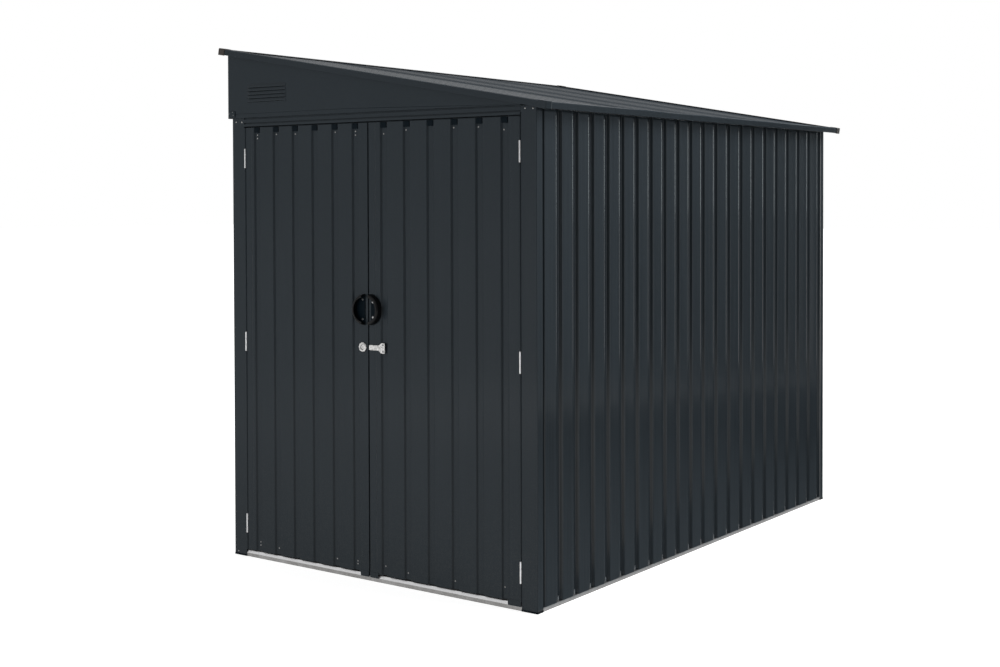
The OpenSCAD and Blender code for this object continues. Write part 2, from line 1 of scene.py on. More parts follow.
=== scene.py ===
import bmesh
import bpy
import math
import numpy as np
from mathutils import Matrix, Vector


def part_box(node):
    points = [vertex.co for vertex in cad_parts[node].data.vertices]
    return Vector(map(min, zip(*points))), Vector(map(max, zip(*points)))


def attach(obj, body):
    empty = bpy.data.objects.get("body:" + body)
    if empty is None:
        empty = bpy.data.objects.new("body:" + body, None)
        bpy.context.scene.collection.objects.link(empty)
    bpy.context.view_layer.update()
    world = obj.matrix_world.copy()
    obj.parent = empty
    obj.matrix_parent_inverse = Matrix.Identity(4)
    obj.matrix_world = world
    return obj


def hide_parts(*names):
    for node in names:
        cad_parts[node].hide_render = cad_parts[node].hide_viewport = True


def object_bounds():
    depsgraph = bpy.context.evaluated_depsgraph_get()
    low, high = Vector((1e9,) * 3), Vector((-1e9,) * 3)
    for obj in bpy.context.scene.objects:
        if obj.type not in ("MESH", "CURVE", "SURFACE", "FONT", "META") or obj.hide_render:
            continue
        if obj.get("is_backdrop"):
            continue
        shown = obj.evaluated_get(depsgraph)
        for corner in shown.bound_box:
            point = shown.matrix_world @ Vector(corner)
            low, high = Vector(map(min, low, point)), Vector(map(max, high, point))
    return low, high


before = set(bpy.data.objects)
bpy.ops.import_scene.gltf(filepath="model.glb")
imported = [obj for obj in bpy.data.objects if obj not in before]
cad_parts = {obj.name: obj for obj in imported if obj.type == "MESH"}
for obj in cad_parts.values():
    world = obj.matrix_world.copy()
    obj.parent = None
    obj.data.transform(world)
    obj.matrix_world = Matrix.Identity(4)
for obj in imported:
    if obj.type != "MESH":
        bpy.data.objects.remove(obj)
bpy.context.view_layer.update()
print("frame loaded:", len(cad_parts), "nodes")


# Lengths that the frame gives, all in metres
def span(node):
    low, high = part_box(node)
    return np.array(low), np.array(high)


frontY = span("left_door_stiles")[0][1]
backY = span("corner_post_back_right")[1][1]
halfWidth = span("corner_post_front_right")[1][0]
roof = dict(pitch=math.radians(9.9), trimHeight=0.024, overSide=0.055, sheetDrop=0.005, under=0.0184)
cosRoof, sinRoof = math.cos(roof["pitch"]), math.sin(roof["pitch"])
vergeLow, vergeHigh = span("verge_trim_front")
roofMidZ = (vergeLow[2] + vergeHigh[2]) / 2 + roof["trimHeight"] / 2 * cosRoof
roofHalf = (halfWidth + roof["overSide"]) / cosRoof
roofFrontY, roofBackY = vergeLow[1], span("verge_trim_back")[1][1]
bothSides = (("left", -1), ("right", 1))


def underRoofZ(x):
    # Underside of the roof's sheets
    return roofMidZ - x * math.tan(roof["pitch"]) - roof["under"] / cosRoof


# Shapes as whole arrays
def unit(v):
    return v / np.linalg.norm(v, axis=-1, keepdims=True)


def roundLine(corners, radius, steps=5, hold=0.0008, closed=False):
    # Each corner becomes an arc tangent to both of its sides: its centre lies on the bisector at
    # radius / sin(half angle), and its points are sin-weighted blends of its first and last spokes.
    # A point on either side, a hold's length away, keeps the flats flat when they are shaded.
    p = np.asarray(corners, float)
    a = unit(np.roll(p, 1, 0) - p)
    b = unit(np.roll(p, -1, 0) - p)
    half = np.arccos(np.clip((a * b).sum(-1), -0.999999, 0.999999)) / 2
    r = np.broadcast_to(np.asarray(radius, float), half.shape)
    reach = (r / np.tan(half))[:, None]
    centre = p + unit(a + b + 1e-12) * (r / np.sin(half))[:, None]
    turn = np.maximum(math.pi - 2 * half, 1e-6)[:, None, None]
    t = np.linspace(0, 1, steps + 1)[None, :, None]
    first, last = (p + a * reach - centre)[:, None], (p + b * reach - centre)[:, None]
    arc = centre[:, None] + (first * np.sin((1 - t) * turn) + last * np.sin(t * turn)) / np.sin(turn)
    ends = [(p + a * (reach + hold))[:, None], (p + b * (reach + hold))[:, None]]
    rows = np.concatenate([ends[0], arc, ends[1]], 1)
    if closed:
        return rows.reshape(-1, p.shape[1])
    return np.concatenate([p[:1], rows[1:-1].reshape(-1, p.shape[1]), p[-1:]])


def refined(line, step):
    # The same line with further points every step along its length
    run = np.concatenate([[0], np.cumsum(np.linalg.norm(np.diff(line, axis=0), axis=1))])
    far = np.arange(step, run[-1] - step / 2, step)
    far = far[np.abs(far[:, None] - run[None]).min(1) > step / 6]
    stops = np.sort(np.concatenate([run, far]))
    return np.stack([np.interp(stops, run, line[:, k]) for k in range(line.shape[1])], -1)


def thick(line, sheet):
    # The line, then on its way back the same line moved sideways by the sheet's thickness: every point
    # goes along the mean of its two sides' normals, over the cosine of half the turn
    d = np.diff(line, axis=0)
    n = unit(np.stack([-d[:, 1], d[:, 0]], -1))
    before, after = np.concatenate([n[:1], n]), np.concatenate([n, n[-1:]])
    mean = unit(before + after)
    inner = line + mean * (sheet / np.clip((mean * after).sum(-1), 0.3, 1))[:, None]
    return np.concatenate([line, inner[::-1]])


def folded(corners, radius, sheet):
    # Section of a folded sheet with rounded bends; a sheet below zero lies to the line's right
    return thick(roundLine(corners, radius), sheet)


def ringQuads(rows, count):
    ids = np.arange(rows * count).reshape(rows, count)
    near = np.roll(ids, -1, 1)
    return np.stack([ids[:-1], near[:-1], near[1:], ids[1:]], -1).reshape(-1, 4)


def closedRows(grid):
    # Skin over rows of points that each close on themselves
    quads = ringQuads(*grid.shape[:2])
    return grid.reshape(-1, 3), quads, np.zeros(len(quads), int)


def shell(rings):
    # Closed skin over S rings of N points; each end is closed by quads between facing points
    s, n = rings.shape[:2]
    i = np.arange(n // 2 - 1)
    cap = np.stack([i, i + 1, n - 2 - i, n - 1 - i], -1)
    quads = np.concatenate([ringQuads(s, n), cap, cap[:, ::-1] + (s - 1) * n])
    paint = np.concatenate([np.tile((np.arange(n) >= n // 2 - 1) * 1, s - 1), np.zeros(2 * len(cap), int)])
    return rings.reshape(-1, 3), quads, paint


def carried(section, run, place):
    # A section (N points of across, out) carried along a run, which is its first station, its last and how
    # many there are; place turns the three lengths into x, y, z
    across, out, along = section[None, :, 0], section[None, :, 1], np.linspace(*run)[:, None]
    return shell(np.stack(np.broadcast_arrays(*place(across, out, along)), -1))


def upright(section, run, x, y, wayX=1, wayY=1):
    return carried(section, run, lambda a, d, h: (x + wayX * a, y + wayY * d, h))


def level(section, run, y, z=0):
    return carried(section, run, lambda d, h, x: (x, y + d, z + h))


def bare(shape, finish=0):
    # The same shape with one finish all over
    return shape[0], shape[1], shape[2] * 0 + finish


def painted(shape, section, chosen, finish):
    # The quads between chosen neighbours of a carried section's outer line get another finish
    verts, quads, paint = shape
    pick = chosen & np.roll(chosen, -1)
    pick[len(section) // 2 - 1:] = False
    picked = np.tile(pick, len(verts) // len(section) - 1)
    paint = paint.copy()
    paint[:len(picked)][picked] = finish
    return verts, quads, paint


def slab(face, sheet, keep):
    # A grid of points and the same one a sheet's thickness behind it, joined round every cell that is
    # kept, so a hole gets its own walls
    rows, cols = keep.shape
    ids = np.arange((rows + 1) * (cols + 1)).reshape(rows + 1, cols + 1)
    far = ids + ids.size
    a, b, c, d = ids[:-1, :-1], ids[:-1, 1:], ids[1:, 1:], ids[1:, :-1]
    e, f, g, h = far[:-1, :-1], far[:-1, 1:], far[1:, 1:], far[1:, :-1]
    wide = np.pad(keep, 1)
    edges = [
        (a, b, f, e, wide[:-2, 1:-1]), (b, c, g, f, wide[1:-1, 2:]),
        (c, d, h, g, wide[2:, 1:-1]), (d, a, e, h, wide[1:-1, :-2])
    ]
    quads = [np.stack([a, b, c, d], -1)[keep], np.stack([h, g, f, e], -1)[keep]]
    paint = [np.zeros(keep.sum(), int), np.ones(keep.sum(), int)]
    for *corners, beside in edges:
        rim = keep & ~beside
        quads.append(np.stack(corners, -1)[rim])
        paint.append(np.zeros(rim.sum(), int))
    verts = np.concatenate([face.reshape(-1, 3), (face + np.array([0, sheet, 0])).reshape(-1, 3)])
    return verts, np.concatenate(quads), np.concatenate(paint)


def fullTurn(count):
    return np.linspace(0, 2 * math.pi, count, endpoint=False)


def turned(profile, count=16):
    # A profile (radius, height) taken once round the axis, closed at its poles
    angle = fullTurn(count)
    r, h = np.asarray(profile, float)[:, :1], np.asarray(profile, float)[:, 1:]
    return closedRows(np.stack([r * np.cos(angle), r * np.sin(angle), h + 0 * angle], -1))


def repeated(shape, spots, axes):
    # The shape, turned to the given axes, at every spot
    verts, quads, paint = shape
    spots = np.asarray(spots, float)
    moved = ((verts @ np.asarray(axes, float))[None] + spots[:, None]).reshape(-1, 3)
    ids = (quads[None] + np.arange(len(spots))[:, None, None] * len(verts)).reshape(-1, 4)
    return moved, ids, np.tile(paint, len(spots))


facingUp = ((1, 0, 0), (0, 1, 0), (0, 0, 1))
facingFront = ((1, 0, 0), (0, 0, 1), (0, -1, 0))
facingBack = ((1, 0, 0), (0, 0, 1), (0, 1, 0))


def onRoof(x, y, z):
    # From the roof's own plane, x down the slope and z square to it, to the shared frame
    return x * cosRoof + z * sinRoof, y, roofMidZ - x * sinRoof + z * cosRoof


slots = dict(zincPlated="galvanised_steel", brightZinc="galvanised_steel", satinChrome="galvanised_steel",
             shadedSteel="galvanised_steel", blackPlastic="black_plastic", darkPlasticAndShade="black_plastic",
             capPlastic="cap_plastic")


def makePiece(name, parts, finishes, body="root", nodes=(), crease=32, slot=None):
    # One mesh of all the parts; a slot is worked out from its first finish where none is given, but the
    # piece is not given it
    slot = slot or slots.get(finishes[0].name, "anthracite_steel")
    sizes = np.cumsum([0] + [len(p[0]) for p in parts])
    verts = np.concatenate([p[0] for p in parts])
    quads = np.concatenate([p[1] + n for p, n in zip(parts, sizes)])
    mesh = bpy.data.meshes.new(name)
    mesh.from_pydata(verts, [], quads)
    for finish in finishes:
        mesh.materials.append(finish)
    if len(finishes) > 1:
        mesh.polygons.foreach_set("material_index", np.concatenate([p[2] for p in parts]))
    bm = bmesh.new()
    bm.from_mesh(mesh)
    bmesh.ops.remove_doubles(bm, verts=bm.verts, dist=1e-6)
    bmesh.ops.dissolve_degenerate(bm, edges=bm.edges, dist=1e-7)
    bmesh.ops.recalc_face_normals(bm, faces=bm.faces)
    bm.to_mesh(mesh)
    bm.free()
    mesh.shade_smooth()
    mesh.set_sharp_from_angle(angle=math.radians(crease))
    piece = bpy.data.objects.new(name, mesh)
    bpy.context.scene.collection.objects.link(piece)
    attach(piece, body)
    if nodes:
        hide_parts(*nodes)
    return piece


def remake(node, parts, finishes, name=None, crease=32):
    # A piece that stands in for the frame's node, on that node's body and named after it
    words = node.split("_")
    name = name or words[0] + "".join(word.capitalize() for word in words[1:])
    body = "_".join(words[:2]) if words[1] == "door" else "root"
    return makePiece(name, parts, finishes, body, [node], crease)


# Shader nodes
def feed(socket, value):
    if isinstance(value, (int, float, tuple)):
        socket.default_value = value
    else:
        socket.id_data.links.new(value, socket)


def addNode(tree, kind, inputs=None, **settings):
    node = tree.nodes.new("ShaderNode" + kind)
    for label, value in settings.items():
        setattr(node, label, value)
    for label, value in (inputs or {}).items():
        feed(node.inputs[label], value)
    return node


def newGroup(name, inputs, outputs):
    # The group, what it is given and what it makes; every finish sets the inputs it needs
    kinds = dict(Colour="Color", Roll="Vector")
    group = bpy.data.node_groups.new(name, "ShaderNodeTree")
    for way, labels in (("INPUT", inputs), ("OUTPUT", outputs)):
        for label in labels.split():
            kind = "NodeSocket" + kinds.get(label, "Float")
            group.interface.new_socket(name=label, in_out=way, socket_type=kind)
    return group, group.nodes.new("NodeGroupInput").outputs, group.nodes.new("NodeGroupOutput").inputs


def mathNode(operation, a, b, clamp=False):
    return addNode(a.id_data, "Math", {0: a, 1: b}, operation=operation, use_clamp=clamp).outputs[0]


def plus(a, b):
    return mathNode("ADD", a, b)


def times(a, b):
    return mathNode("MULTIPLY", a, b)


def swung(value, size):
    # A noise value about zero, as large as the size says
    return times(mathNode("SUBTRACT", value, 0.5), size)


def noise(place, scale, detail, rough=0.5):
    inputs = {"Vector": place, "Scale": scale, "Detail": detail, "Roughness": rough}
    return addNode(place.id_data, "TexNoise", inputs).outputs["Fac"]


def ranged(value, fromLow, fromHigh, toLow, toHigh):
    inputs = {"Value": value, "From Min": fromLow, "From Max": fromHigh, "To Min": toLow, "To Max": toHigh}
    return addNode(value.id_data, "MapRange", inputs).outputs[0]


def scaledColour(colour, scale):
    return addNode(scale.id_data, "VectorMath", {0: colour, "Scale": scale}, operation="SCALE").outputs[0]


def mixColour(mask, a, b):
    return addNode(mask.id_data, "Mix", {0: mask, 6: a, 7: b}, data_type="RGBA").outputs[2]


weatherAndShade = dict(
    # bands: stops across the roof's depth and how much gloss each takes away, a painted reflection pattern
    bands=((0.0, 0.0), (0.205, 0.0), (0.275, 1.0), (0.366, 0.2), (0.46, 0.9), (0.555, 0.35), (0.61, 0.4),
           (0.697, 0.9), (0.812, 0.25), (0.93, 0.95), (0.96, 1.0), (1.0, 1.0)),
    dust=(0.16, 0.155, 0.14, 1), dustHeight=0.5, dustAbove=0.25, bloom=(0.72, 0.73, 0.74, 1),
    rubbed=(0.07, 0.07, 0.068, 1))


def makeCoatedSteelGroup():
    # Stove-enamelled sheet: fine orange peel, faint marks along the rolling direction, soft tone drift,
    # low dust, and on a roof a painted reflection: soft stripes of weaker gloss across its depth, the roof's
    # bright and dull stripes at a low view
    group, given, made = newGroup("coatedSteel", "Colour Rough Drift Streaks Dust Roll Bands Gloss",
                                  "Colour Rough Height Gloss")
    place = addNode(group, "TexCoord").outputs["Object"]
    rolled = addNode(group, "VectorMath", {0: place, 1: given["Roll"]}, operation="MULTIPLY").outputs[0]
    streak = noise(rolled, 26, 4, 0.6)
    axes = addNode(group, "SeparateXYZ", {0: place}).outputs
    nearGround = ranged(axes[2], 0.0, weatherAndShade["dustHeight"], 1.0, 0.0)
    ramp = addNode(group, "ValToRGB", {0: ranged(axes[1], roofFrontY, roofBackY, 0.0, 1.0)})
    for count, (far, dull) in enumerate(weatherAndShade["bands"]):
        stop = ramp.color_ramp.elements[count] if count < 2 else ramp.color_ramp.elements.new(far)
        stop.position = far
        stop.color = (dull, dull, dull, 1)
    # Painted reflection: the roof's gloss is taken down in stripes across its depth
    dullShadeBands = times(ramp.outputs[0], given["Bands"])
    lines = swung(streak, given["Streaks"])
    tone = plus(plus(swung(noise(place, 2.3, 4), given["Drift"]), lines), 1.0)
    dusty = times(ranged(noise(place, 260, 3, 0.7), 0.45, 0.75, 0.0, 1.0), given["Dust"])
    dusty = mathNode("MULTIPLY", dusty, plus(nearGround, weatherAndShade["dustAbove"]), clamp=True)
    feed(made["Colour"], mixColour(dusty, scaledColour(given["Colour"], tone), weatherAndShade["dust"]))
    glossy = mathNode("SUBTRACT", plus(times(lines, 2.0), 1.0), dullShadeBands)
    glossy = mathNode("SUBTRACT", glossy, dusty, clamp=True)
    feed(made["Gloss"], times(glossy, given["Gloss"]))
    feed(made["Rough"], plus(plus(given["Rough"], times(lines, 0.6)), times(dusty, 0.3)))
    feed(made["Height"], plus(times(noise(place, 900, 2), 0.5), times(streak, 0.5)))
    return group


def makeZincGroup():
    # Hot-dip zinc: cells of crystal with their own tone and gloss, plus fine white bloom; at a strong
    # contrast on the satin chrome the same cells are a painted reflection
    group, given, made = newGroup("zincSpangle", "Colour Rough Cell Contrast Bloom", "Colour Rough Height")
    place = addNode(group, "TexCoord").outputs["Object"]
    cells = addNode(group, "TexVoronoi", {"Vector": place, "Scale": given["Cell"]})
    grey = addNode(group, "SeparateColor", {0: cells.outputs["Color"]}).outputs
    bloom = times(ranged(noise(place, 14, 5, 0.6), 0.45, 0.7, 0, 1), given["Bloom"])
    swing = swung(grey[0], given["Contrast"])
    feed(made["Colour"], mixColour(bloom, scaledColour(given["Colour"], plus(swing, 1.0)), weatherAndShade["bloom"]))
    feed(made["Rough"], plus(plus(given["Rough"], times(swing, 0.5)), times(bloom, 0.4)))
    feed(made["Height"], grey[1])
    return group


def makePlasticGroup():
    # Moulded plastic: spark-eroded grain and slight rubbing in random patches
    group, given, made = newGroup("mouldedPlastic", "Colour Rough Grain Scuff", "Colour Rough Height")
    place = addNode(group, "TexCoord").outputs["Object"]
    scuff = times(ranged(noise(place, 90, 5, 0.7), 0.5, 0.8, 0, 1), given["Scuff"])
    feed(made["Colour"], mixColour(scuff, given["Colour"], weatherAndShade["rubbed"]))
    feed(made["Rough"], plus(given["Rough"], times(scuff, 0.5)))
    feed(made["Height"], noise(place, given["Grain"], 2))
    return group


groups = dict(steel=makeCoatedSteelGroup(), zinc=makeZincGroup(), plastic=makePlasticGroup())


def newMaterial(name, inputs):
    material = bpy.data.materials.new(name)
    material.use_nodes = True
    shader = material.node_tree.nodes["Principled BSDF"]
    for label, value in inputs.items():
        feed(shader.inputs[label], value)
    return material, material.node_tree, shader


def makeFinish(name, group, values, bump, depth=0.0004, metallic=0.0, specular=0.5, coatRough=0.15):
    finish, tree, shader = newMaterial(name, {
        "Metallic": metallic, "Specular IOR Level": specular, "Coat Roughness": coatRough})
    effect = addNode(tree, "Group", node_tree=groups[group])
    for label, value in values.items():
        feed(effect.inputs[label], value)
    relief = addNode(tree, "Bump", {"Strength": bump, "Distance": depth, "Height": effect.outputs["Height"]})
    feed(shader.inputs["Base Color"], effect.outputs["Colour"])
    feed(shader.inputs["Roughness"], effect.outputs["Rough"])
    feed(shader.inputs["Normal"], relief.outputs["Normal"])
    if "Gloss" in values:
        feed(shader.inputs["Coat Weight"], effect.outputs["Gloss"])
    finish.diffuse_color = values["Colour"]
    return finish


# The roof's tone is bluer than the walls' for the same enamel: a painted reflection of the pale sky that a
# roof mirrors at a low view
steelTone = dict(face=(0.0192, 0.0246, 0.0292, 1), inside=(0.17, 0.175, 0.18, 1),
                 roof=(0.0185, 0.0275, 0.0365, 1))
# Ways that the rolling marks run
rollUp, rollCoarse, rollAcross = (12, 12, 0.15), (4.5, 4.5, 0.05), (0.15, 12, 12)
# faceCoat, sideCoat, lyingCoat and roofCoat are copies of one enamel for faces that look different ways;
# their different Gloss, highest on the side walls, is a painted sheen that sets how light each face reads
faceCoat = dict(Colour=steelTone["face"], Rough=0.5, Drift=0.12, Streaks=0.2, Dust=0.1, Roll=rollUp,
                Gloss=0.16)
sideCoat = faceCoat | dict(Streaks=0.6, Dust=0.04, Roll=rollCoarse, Gloss=0.38)
lyingCoat = faceCoat | dict(Drift=0.1, Streaks=0.08, Dust=0.04, Roll=rollAcross, Gloss=0.155)
roofCoat = faceCoat | dict(Colour=steelTone["roof"], Drift=0.15, Streaks=0.08, Dust=0.15, Roll=rollAcross,
                           Bands=0.8, Gloss=0.35)
innerCoat = dict(Colour=steelTone["inside"], Rough=0.55, Drift=0.1, Streaks=0.08, Dust=0.1, Roll=rollUp)
enamel = makeFinish("enamelUpright", "steel", faceCoat, 0.08, specular=0.0)
enamelSide = makeFinish("enamelSide", "steel", sideCoat, 0.08, specular=0.0)
enamelLying = makeFinish("enamelLying", "steel", lyingCoat, 0.08, specular=0.0)
enamelRoof = makeFinish("enamelRoof", "steel", roofCoat, 0.08, specular=0.0, coatRough=0.25)
backCoat = makeFinish("backingCoat", "steel", innerCoat, 0.1, specular=0.2)
zinc = makeFinish("zincPlated", "zinc", dict(
    Colour=(0.245, 0.241, 0.236, 1), Rough=0.42, Cell=150.0, Contrast=0.3, Bloom=0.15), 0.08, metallic=0.85)
bright = makeFinish("brightZinc", "zinc", dict(
    Colour=(0.58, 0.58, 0.585, 1), Rough=0.3, Cell=420.0, Contrast=0.12, Bloom=0.2), 0.05, metallic=0.85)
# On the satin chrome the cells' strong tone swing is a painted reflection: mottled light and dark where the
# rose and bar would mirror their surroundings
satin = makeFinish("satinChrome", "zinc", dict(
    Colour=(0.42, 0.416, 0.412, 1), Rough=0.3, Cell=220.0, Contrast=0.8, Bloom=0.05), 0.05, metallic=1.0)
# Dark steel for screw heads that sit in shade: painted shade
shadedSteel = makeFinish("shadedSteel", "zinc", dict(
    Colour=(0.12, 0.12, 0.125, 1), Rough=0.35, Cell=600.0, Contrast=0.1, Bloom=0.02), 0.03, metallic=0.9)
blackPlastic = makeFinish("blackPlastic", "plastic", dict(
    Colour=(0.0035, 0.0037, 0.0042, 1), Rough=0.3, Grain=1500.0, Scuff=0.03), 0.08, 0.0002, specular=0.11)
# Nearly black plastic: the posts' shoes, and painted shade in the grooves' tops and on the handles' cup
# floors
darkPlasticAndShade = makeFinish("darkPlasticAndShade", "plastic", dict(
    Colour=(0.0012, 0.0034, 0.0055, 1), Rough=0.6, Grain=1500.0, Scuff=0.0), 0.08, 0.0002, specular=0.05)
capPlastic = makeFinish("capPlastic", "plastic", dict(
    Colour=(0.032, 0.028, 0.026, 1), Rough=0.5, Grain=1100.0, Scuff=0.12), 0.12, 0.0002, specular=0.15)
print("materials ready")


# Ribbed sheets
rib = dict(mouth=0.034, floor=0.024, depth=0.012, bend=0.0042, sheet=0.0012, endBend=0.0015, step=0.02,
           belly=0.0004, bellyReach=0.036, wave=0.00035, sideBend=0.0048, shoulder=0.0068,
           shoulderDepth=0.00135, tuckFlat=0.0085, tuckSlope=0.0045)
rng = np.random.default_rng(11)


def ribLine(length, centres, tuck=(0.0, 0.0), bend=rib["bend"], deep=rib["depth"], shoulder=False):
    # Pans at depth 0 with a trapezoid groove at every centre; tuck joggles an end inwards behind its
    # neighbour, and a shoulder leans from the pan into the groove on its near side
    mouth, floor = rib["mouth"] / 2, rib["floor"] / 2
    section = [[-mouth, 0], [-floor, deep], [floor, deep], [mouth, 0]]
    if shoulder:
        section[:1] = [[-mouth - rib["shoulder"], 0], [-mouth, rib["shoulderDepth"]]]
    spots = np.asarray(centres)[:, None] + np.array(section)[:, 0]
    depth = np.broadcast_to(np.array(section)[:, 1], spots.shape)
    grooves = np.stack([spots, depth], -1).reshape(-1, 2)
    flat, slope = rib["tuckFlat"], rib["tuckFlat"] + rib["tuckSlope"]
    head = [[0, tuck[0]], [flat, tuck[0]], [slope, 0]] if tuck[0] else [[0, 0]]
    tail = [[length - slope, 0], [length - flat, tuck[1]], [length, tuck[1]]] if tuck[1] else [[length, 0]]
    radii = np.repeat([rib["endBend"], bend, rib["endBend"]], [len(head), len(grooves), len(tail)])
    line = refined(roundLine(np.concatenate([head, grooves, tail]), radii, 6), rib["step"])
    # Every pan is drawn in a little at its middle: depth grows as the squared sine of the way from its edges
    away = np.abs(line[:, :1] - np.asarray(centres)[None]).min(1) - mouth
    line[:, 1] += rib["belly"] * np.sin(np.clip(away / rib["bellyReach"], 0, 1) * math.pi / 2) ** 2
    return line


def ribbedSheet(line, run, place):
    # The line and its inner side carried along the ribs. Three slow waves, sums and products of sines of
    # the way across and along, move it by a fraction of a millimetre and fade out at both ends.
    phase = rng.uniform(0, 6.28, 4)

    def waved(a, d, h):
        ripple = np.sin(a * 9 + h * 2.1 + phase[0]) + np.sin(a * 23 - h * 4.3 + phase[1])
        ripple = ripple + np.sin(a * 41 + phase[2]) * np.sin(h * 7 + phase[3])
        fade = np.sin(math.pi * (h - run[0]) / (run[1] - run[0])) ** 0.5
        return place(a, d + rib["wave"] / 3 * (ripple + 3) / 2 * fade, h)

    return carried(thick(line, rib["sheet"]), run, waved)


sideWall = dict(frontCount=11, rearCount=10, strip=0.002, tuck=0.0095)
sideGrooves = []
for side, sign in bothSides[::-1]:
    for part in ("front", "rear"):
        node = f"{side}_wall_{part}_sheet"
        low, high = span(node)
        start, length = low[1], high[1] - low[1]
        if part == "front":
            pitch = length / (sideWall["frontCount"] + 0.5)
            centres = np.arange(1, sideWall["frontCount"] + 1) * pitch
            tuck = (sideWall["tuck"], 0)
        else:
            pitch = (length - rib["mouth"] / 2 - sideWall["strip"]) / (sideWall["rearCount"] - 0.5)
            centres = (np.arange(sideWall["rearCount"]) + 0.5) * pitch
            tuck = (0, 0)
        if side == "right":
            sideGrooves.extend(start + centres)
        line = ribLine(length, centres, tuck, rib["sideBend"], shoulder=True)
        sheet = ribbedSheet(line, (low[2], high[2], 22),
                            lambda a, d, h: (sign * (halfWidth - d), start + a, h))
        remake(node, [sheet], [enamelSide, backCoat])

backWall = dict(count=13, tuck=0.004)
low, high = span("back_wall_sheet")
backPitch = (high[0] - low[0]) / backWall["count"]
line = ribLine(high[0] - low[0], (np.arange(backWall["count"]) + 0.5) * backPitch, (backWall["tuck"],) * 2)
sheet = ribbedSheet(line, (low[2], high[2], 22), lambda a, d, h: (low[0] + a, backY - d, h))
remake("back_wall_sheet", [sheet], [enamel, backCoat])

doorSheet = dict(count=6, margin=0.029, meetingStrip=0.011, deep=0.0085, bend=0.005, hang=0.0075)
# Sizes of the dark blocks that paint the shade in the tops of the doors' grooves
shadeBlock = dict(face=0.0145, foot=0.0105, front=0.0006, height=0.021, below=0.0004, above=0.0003, bend=0.0012,
              draw=0.12, sink=0.0006)
for side, strip in (("left", 0.0), ("right", doorSheet["meetingStrip"])):
    low, high = span(f"{side}_door_sheet")
    width = high[0] - low[0]
    centres = np.linspace(doorSheet["margin"] + strip, width - doorSheet["margin"], doorSheet["count"])
    line = ribLine(width, centres, bend=doorSheet["bend"], deep=doorSheet["deep"])
    sheet = ribbedSheet(line, (low[2] - doorSheet["hang"], high[2], 24),
                        lambda a, d, h: (low[0] + a, frontY + d, h))
    remake(f"{side}_door_sheet", [sheet], [enamel, backCoat])
    # Dark plastic blocks in the tops of the grooves, painted shade where the header's lip shades them: each
    # end is drawn in as the eighth power of the way from its middle
    face, base = shadeBlock["face"], doorSheet["deep"] - shadeBlock["above"]
    corners = [[-face, shadeBlock["front"]], [face, shadeBlock["front"]], [shadeBlock["foot"], base],
               [-shadeBlock["foot"], base]]
    outline = roundLine(corners, shadeBlock["bend"], 3, 0.0002, True)
    mid = high[2] - shadeBlock["below"] - shadeBlock["height"] / 2
    drawn = lambda t: 1 - shadeBlock["draw"] * t ** 8
    shadeBlocks = [carried(outline, (-1, 1, 13), lambda a, d, t: (
        centre + a * drawn(t), frontY + d * drawn(t) + shadeBlock["sink"] * t ** 8,
        mid + t * shadeBlock["height"] / 2)) for centre in low[0] + centres]
    makePiece(f"{side}GrooveShadeBlocks", shadeBlocks, [darkPlasticAndShade], f"{side}_door")

roofSheet = dict(count=7, seam=0.0002, inset=0.0017)
for part in ("front", "middle", "rear"):
    low, high = span(f"roof_sheet_{part}")
    length = high[1] - low[1]
    pitch = (length + roofSheet["seam"]) / roofSheet["count"]
    line = ribLine(length, (np.arange(roofSheet["count"]) + 0.5) * pitch)
    halfRun = roofHalf - roofSheet["inset"]
    sheet = ribbedSheet(line, (-halfRun, halfRun, 20),
                        lambda a, d, s: onRoof(s, low[1] + a, -roof["sheetDrop"] - d))
    remake(f"roof_sheet_{part}", [sheet], [enamelRoof, backCoat])
print("ribbed sheets ready")


# Posts, base rails and inner rails
post = dict(face=0.068, back=0.036, sheet=0.0015, bend=0.003, innerBend=0.001)
corners = [[post["face"], post["back"]], [post["face"], 0], [0, 0], [0, post["back"]]]
section = folded(corners, [0, post["innerBend"], post["bend"], 0], -post["sheet"])
for across, signX in bothSides:
    for depth, edgeY, signY in (("front", frontY, 1), ("back", backY, -1)):
        node = f"corner_post_{depth}_{across}"
        low, high = span(node)
        shape = upright(section, (low[2], high[2], 6), signX * halfWidth, edgeY, -signX, signY)
        # The post's return takes the side copy of the enamel, with its stronger painted sheen
        shape = painted(shape, section, section[:, 0] < 1e-6, 2)
        remake(node, [shape], [enamel, backCoat, enamelSide])

# Shoes round the posts' feet: the skirt leans out towards the ground as the square of the way down
shoe = dict(height=0.007, proud=0.0012, deep=0.012, wall=0.0011, lean=0.02, lift=0.0002,
            bends=(0, 0.003, 0.004, 0))
proud = shoe["proud"]
corners = [[post["face"] + proud, shoe["deep"]], [post["face"] + proud, -proud], [-proud, -proud],
           [-proud, post["back"]]]
shoeLine = roundLine(corners, shoe["bends"])
shoes = [carried(thick(shoeLine, -shoe["wall"]), (0, shoe["height"], 6), lambda a, d, h: (
    signX * (halfWidth - a * (1 + shoe["lean"] * (1 - h / shoe["height"]) ** 2)),
    edgeY + signY * d, h + shoe["lift"]))
    for signX in (-1, 1) for edgeY, signY in ((frontY, 1), (backY, -1))]
makePiece("postShoes", shoes, [darkPlasticAndShade])

# The sill: an upright lower half, a slope over it and a flat top that a wheel rolls over; its slope and top
# take the brighter zinc, a painted highlight where light falls on them
sill = dict(step=0.0148, slope=0.0065, sheet=0.0015, bend=0.0016, edge=0.0004)
low, high = span("base_rail_front")
depth = high[1] - low[1]
corners = [[0, 0], [0, sill["step"]], [sill["slope"], high[2]], [depth, high[2]], [depth, 0]]
section = folded(corners, sill["bend"], -sill["sheet"])
shape = bare(level(section, (low[0], high[0], 30), low[1]))
shape = painted(shape, section, section[:, 1] > sill["step"] - sill["edge"], 1)
remake("base_rail_front", [shape], [zinc, bright], "doorSill")

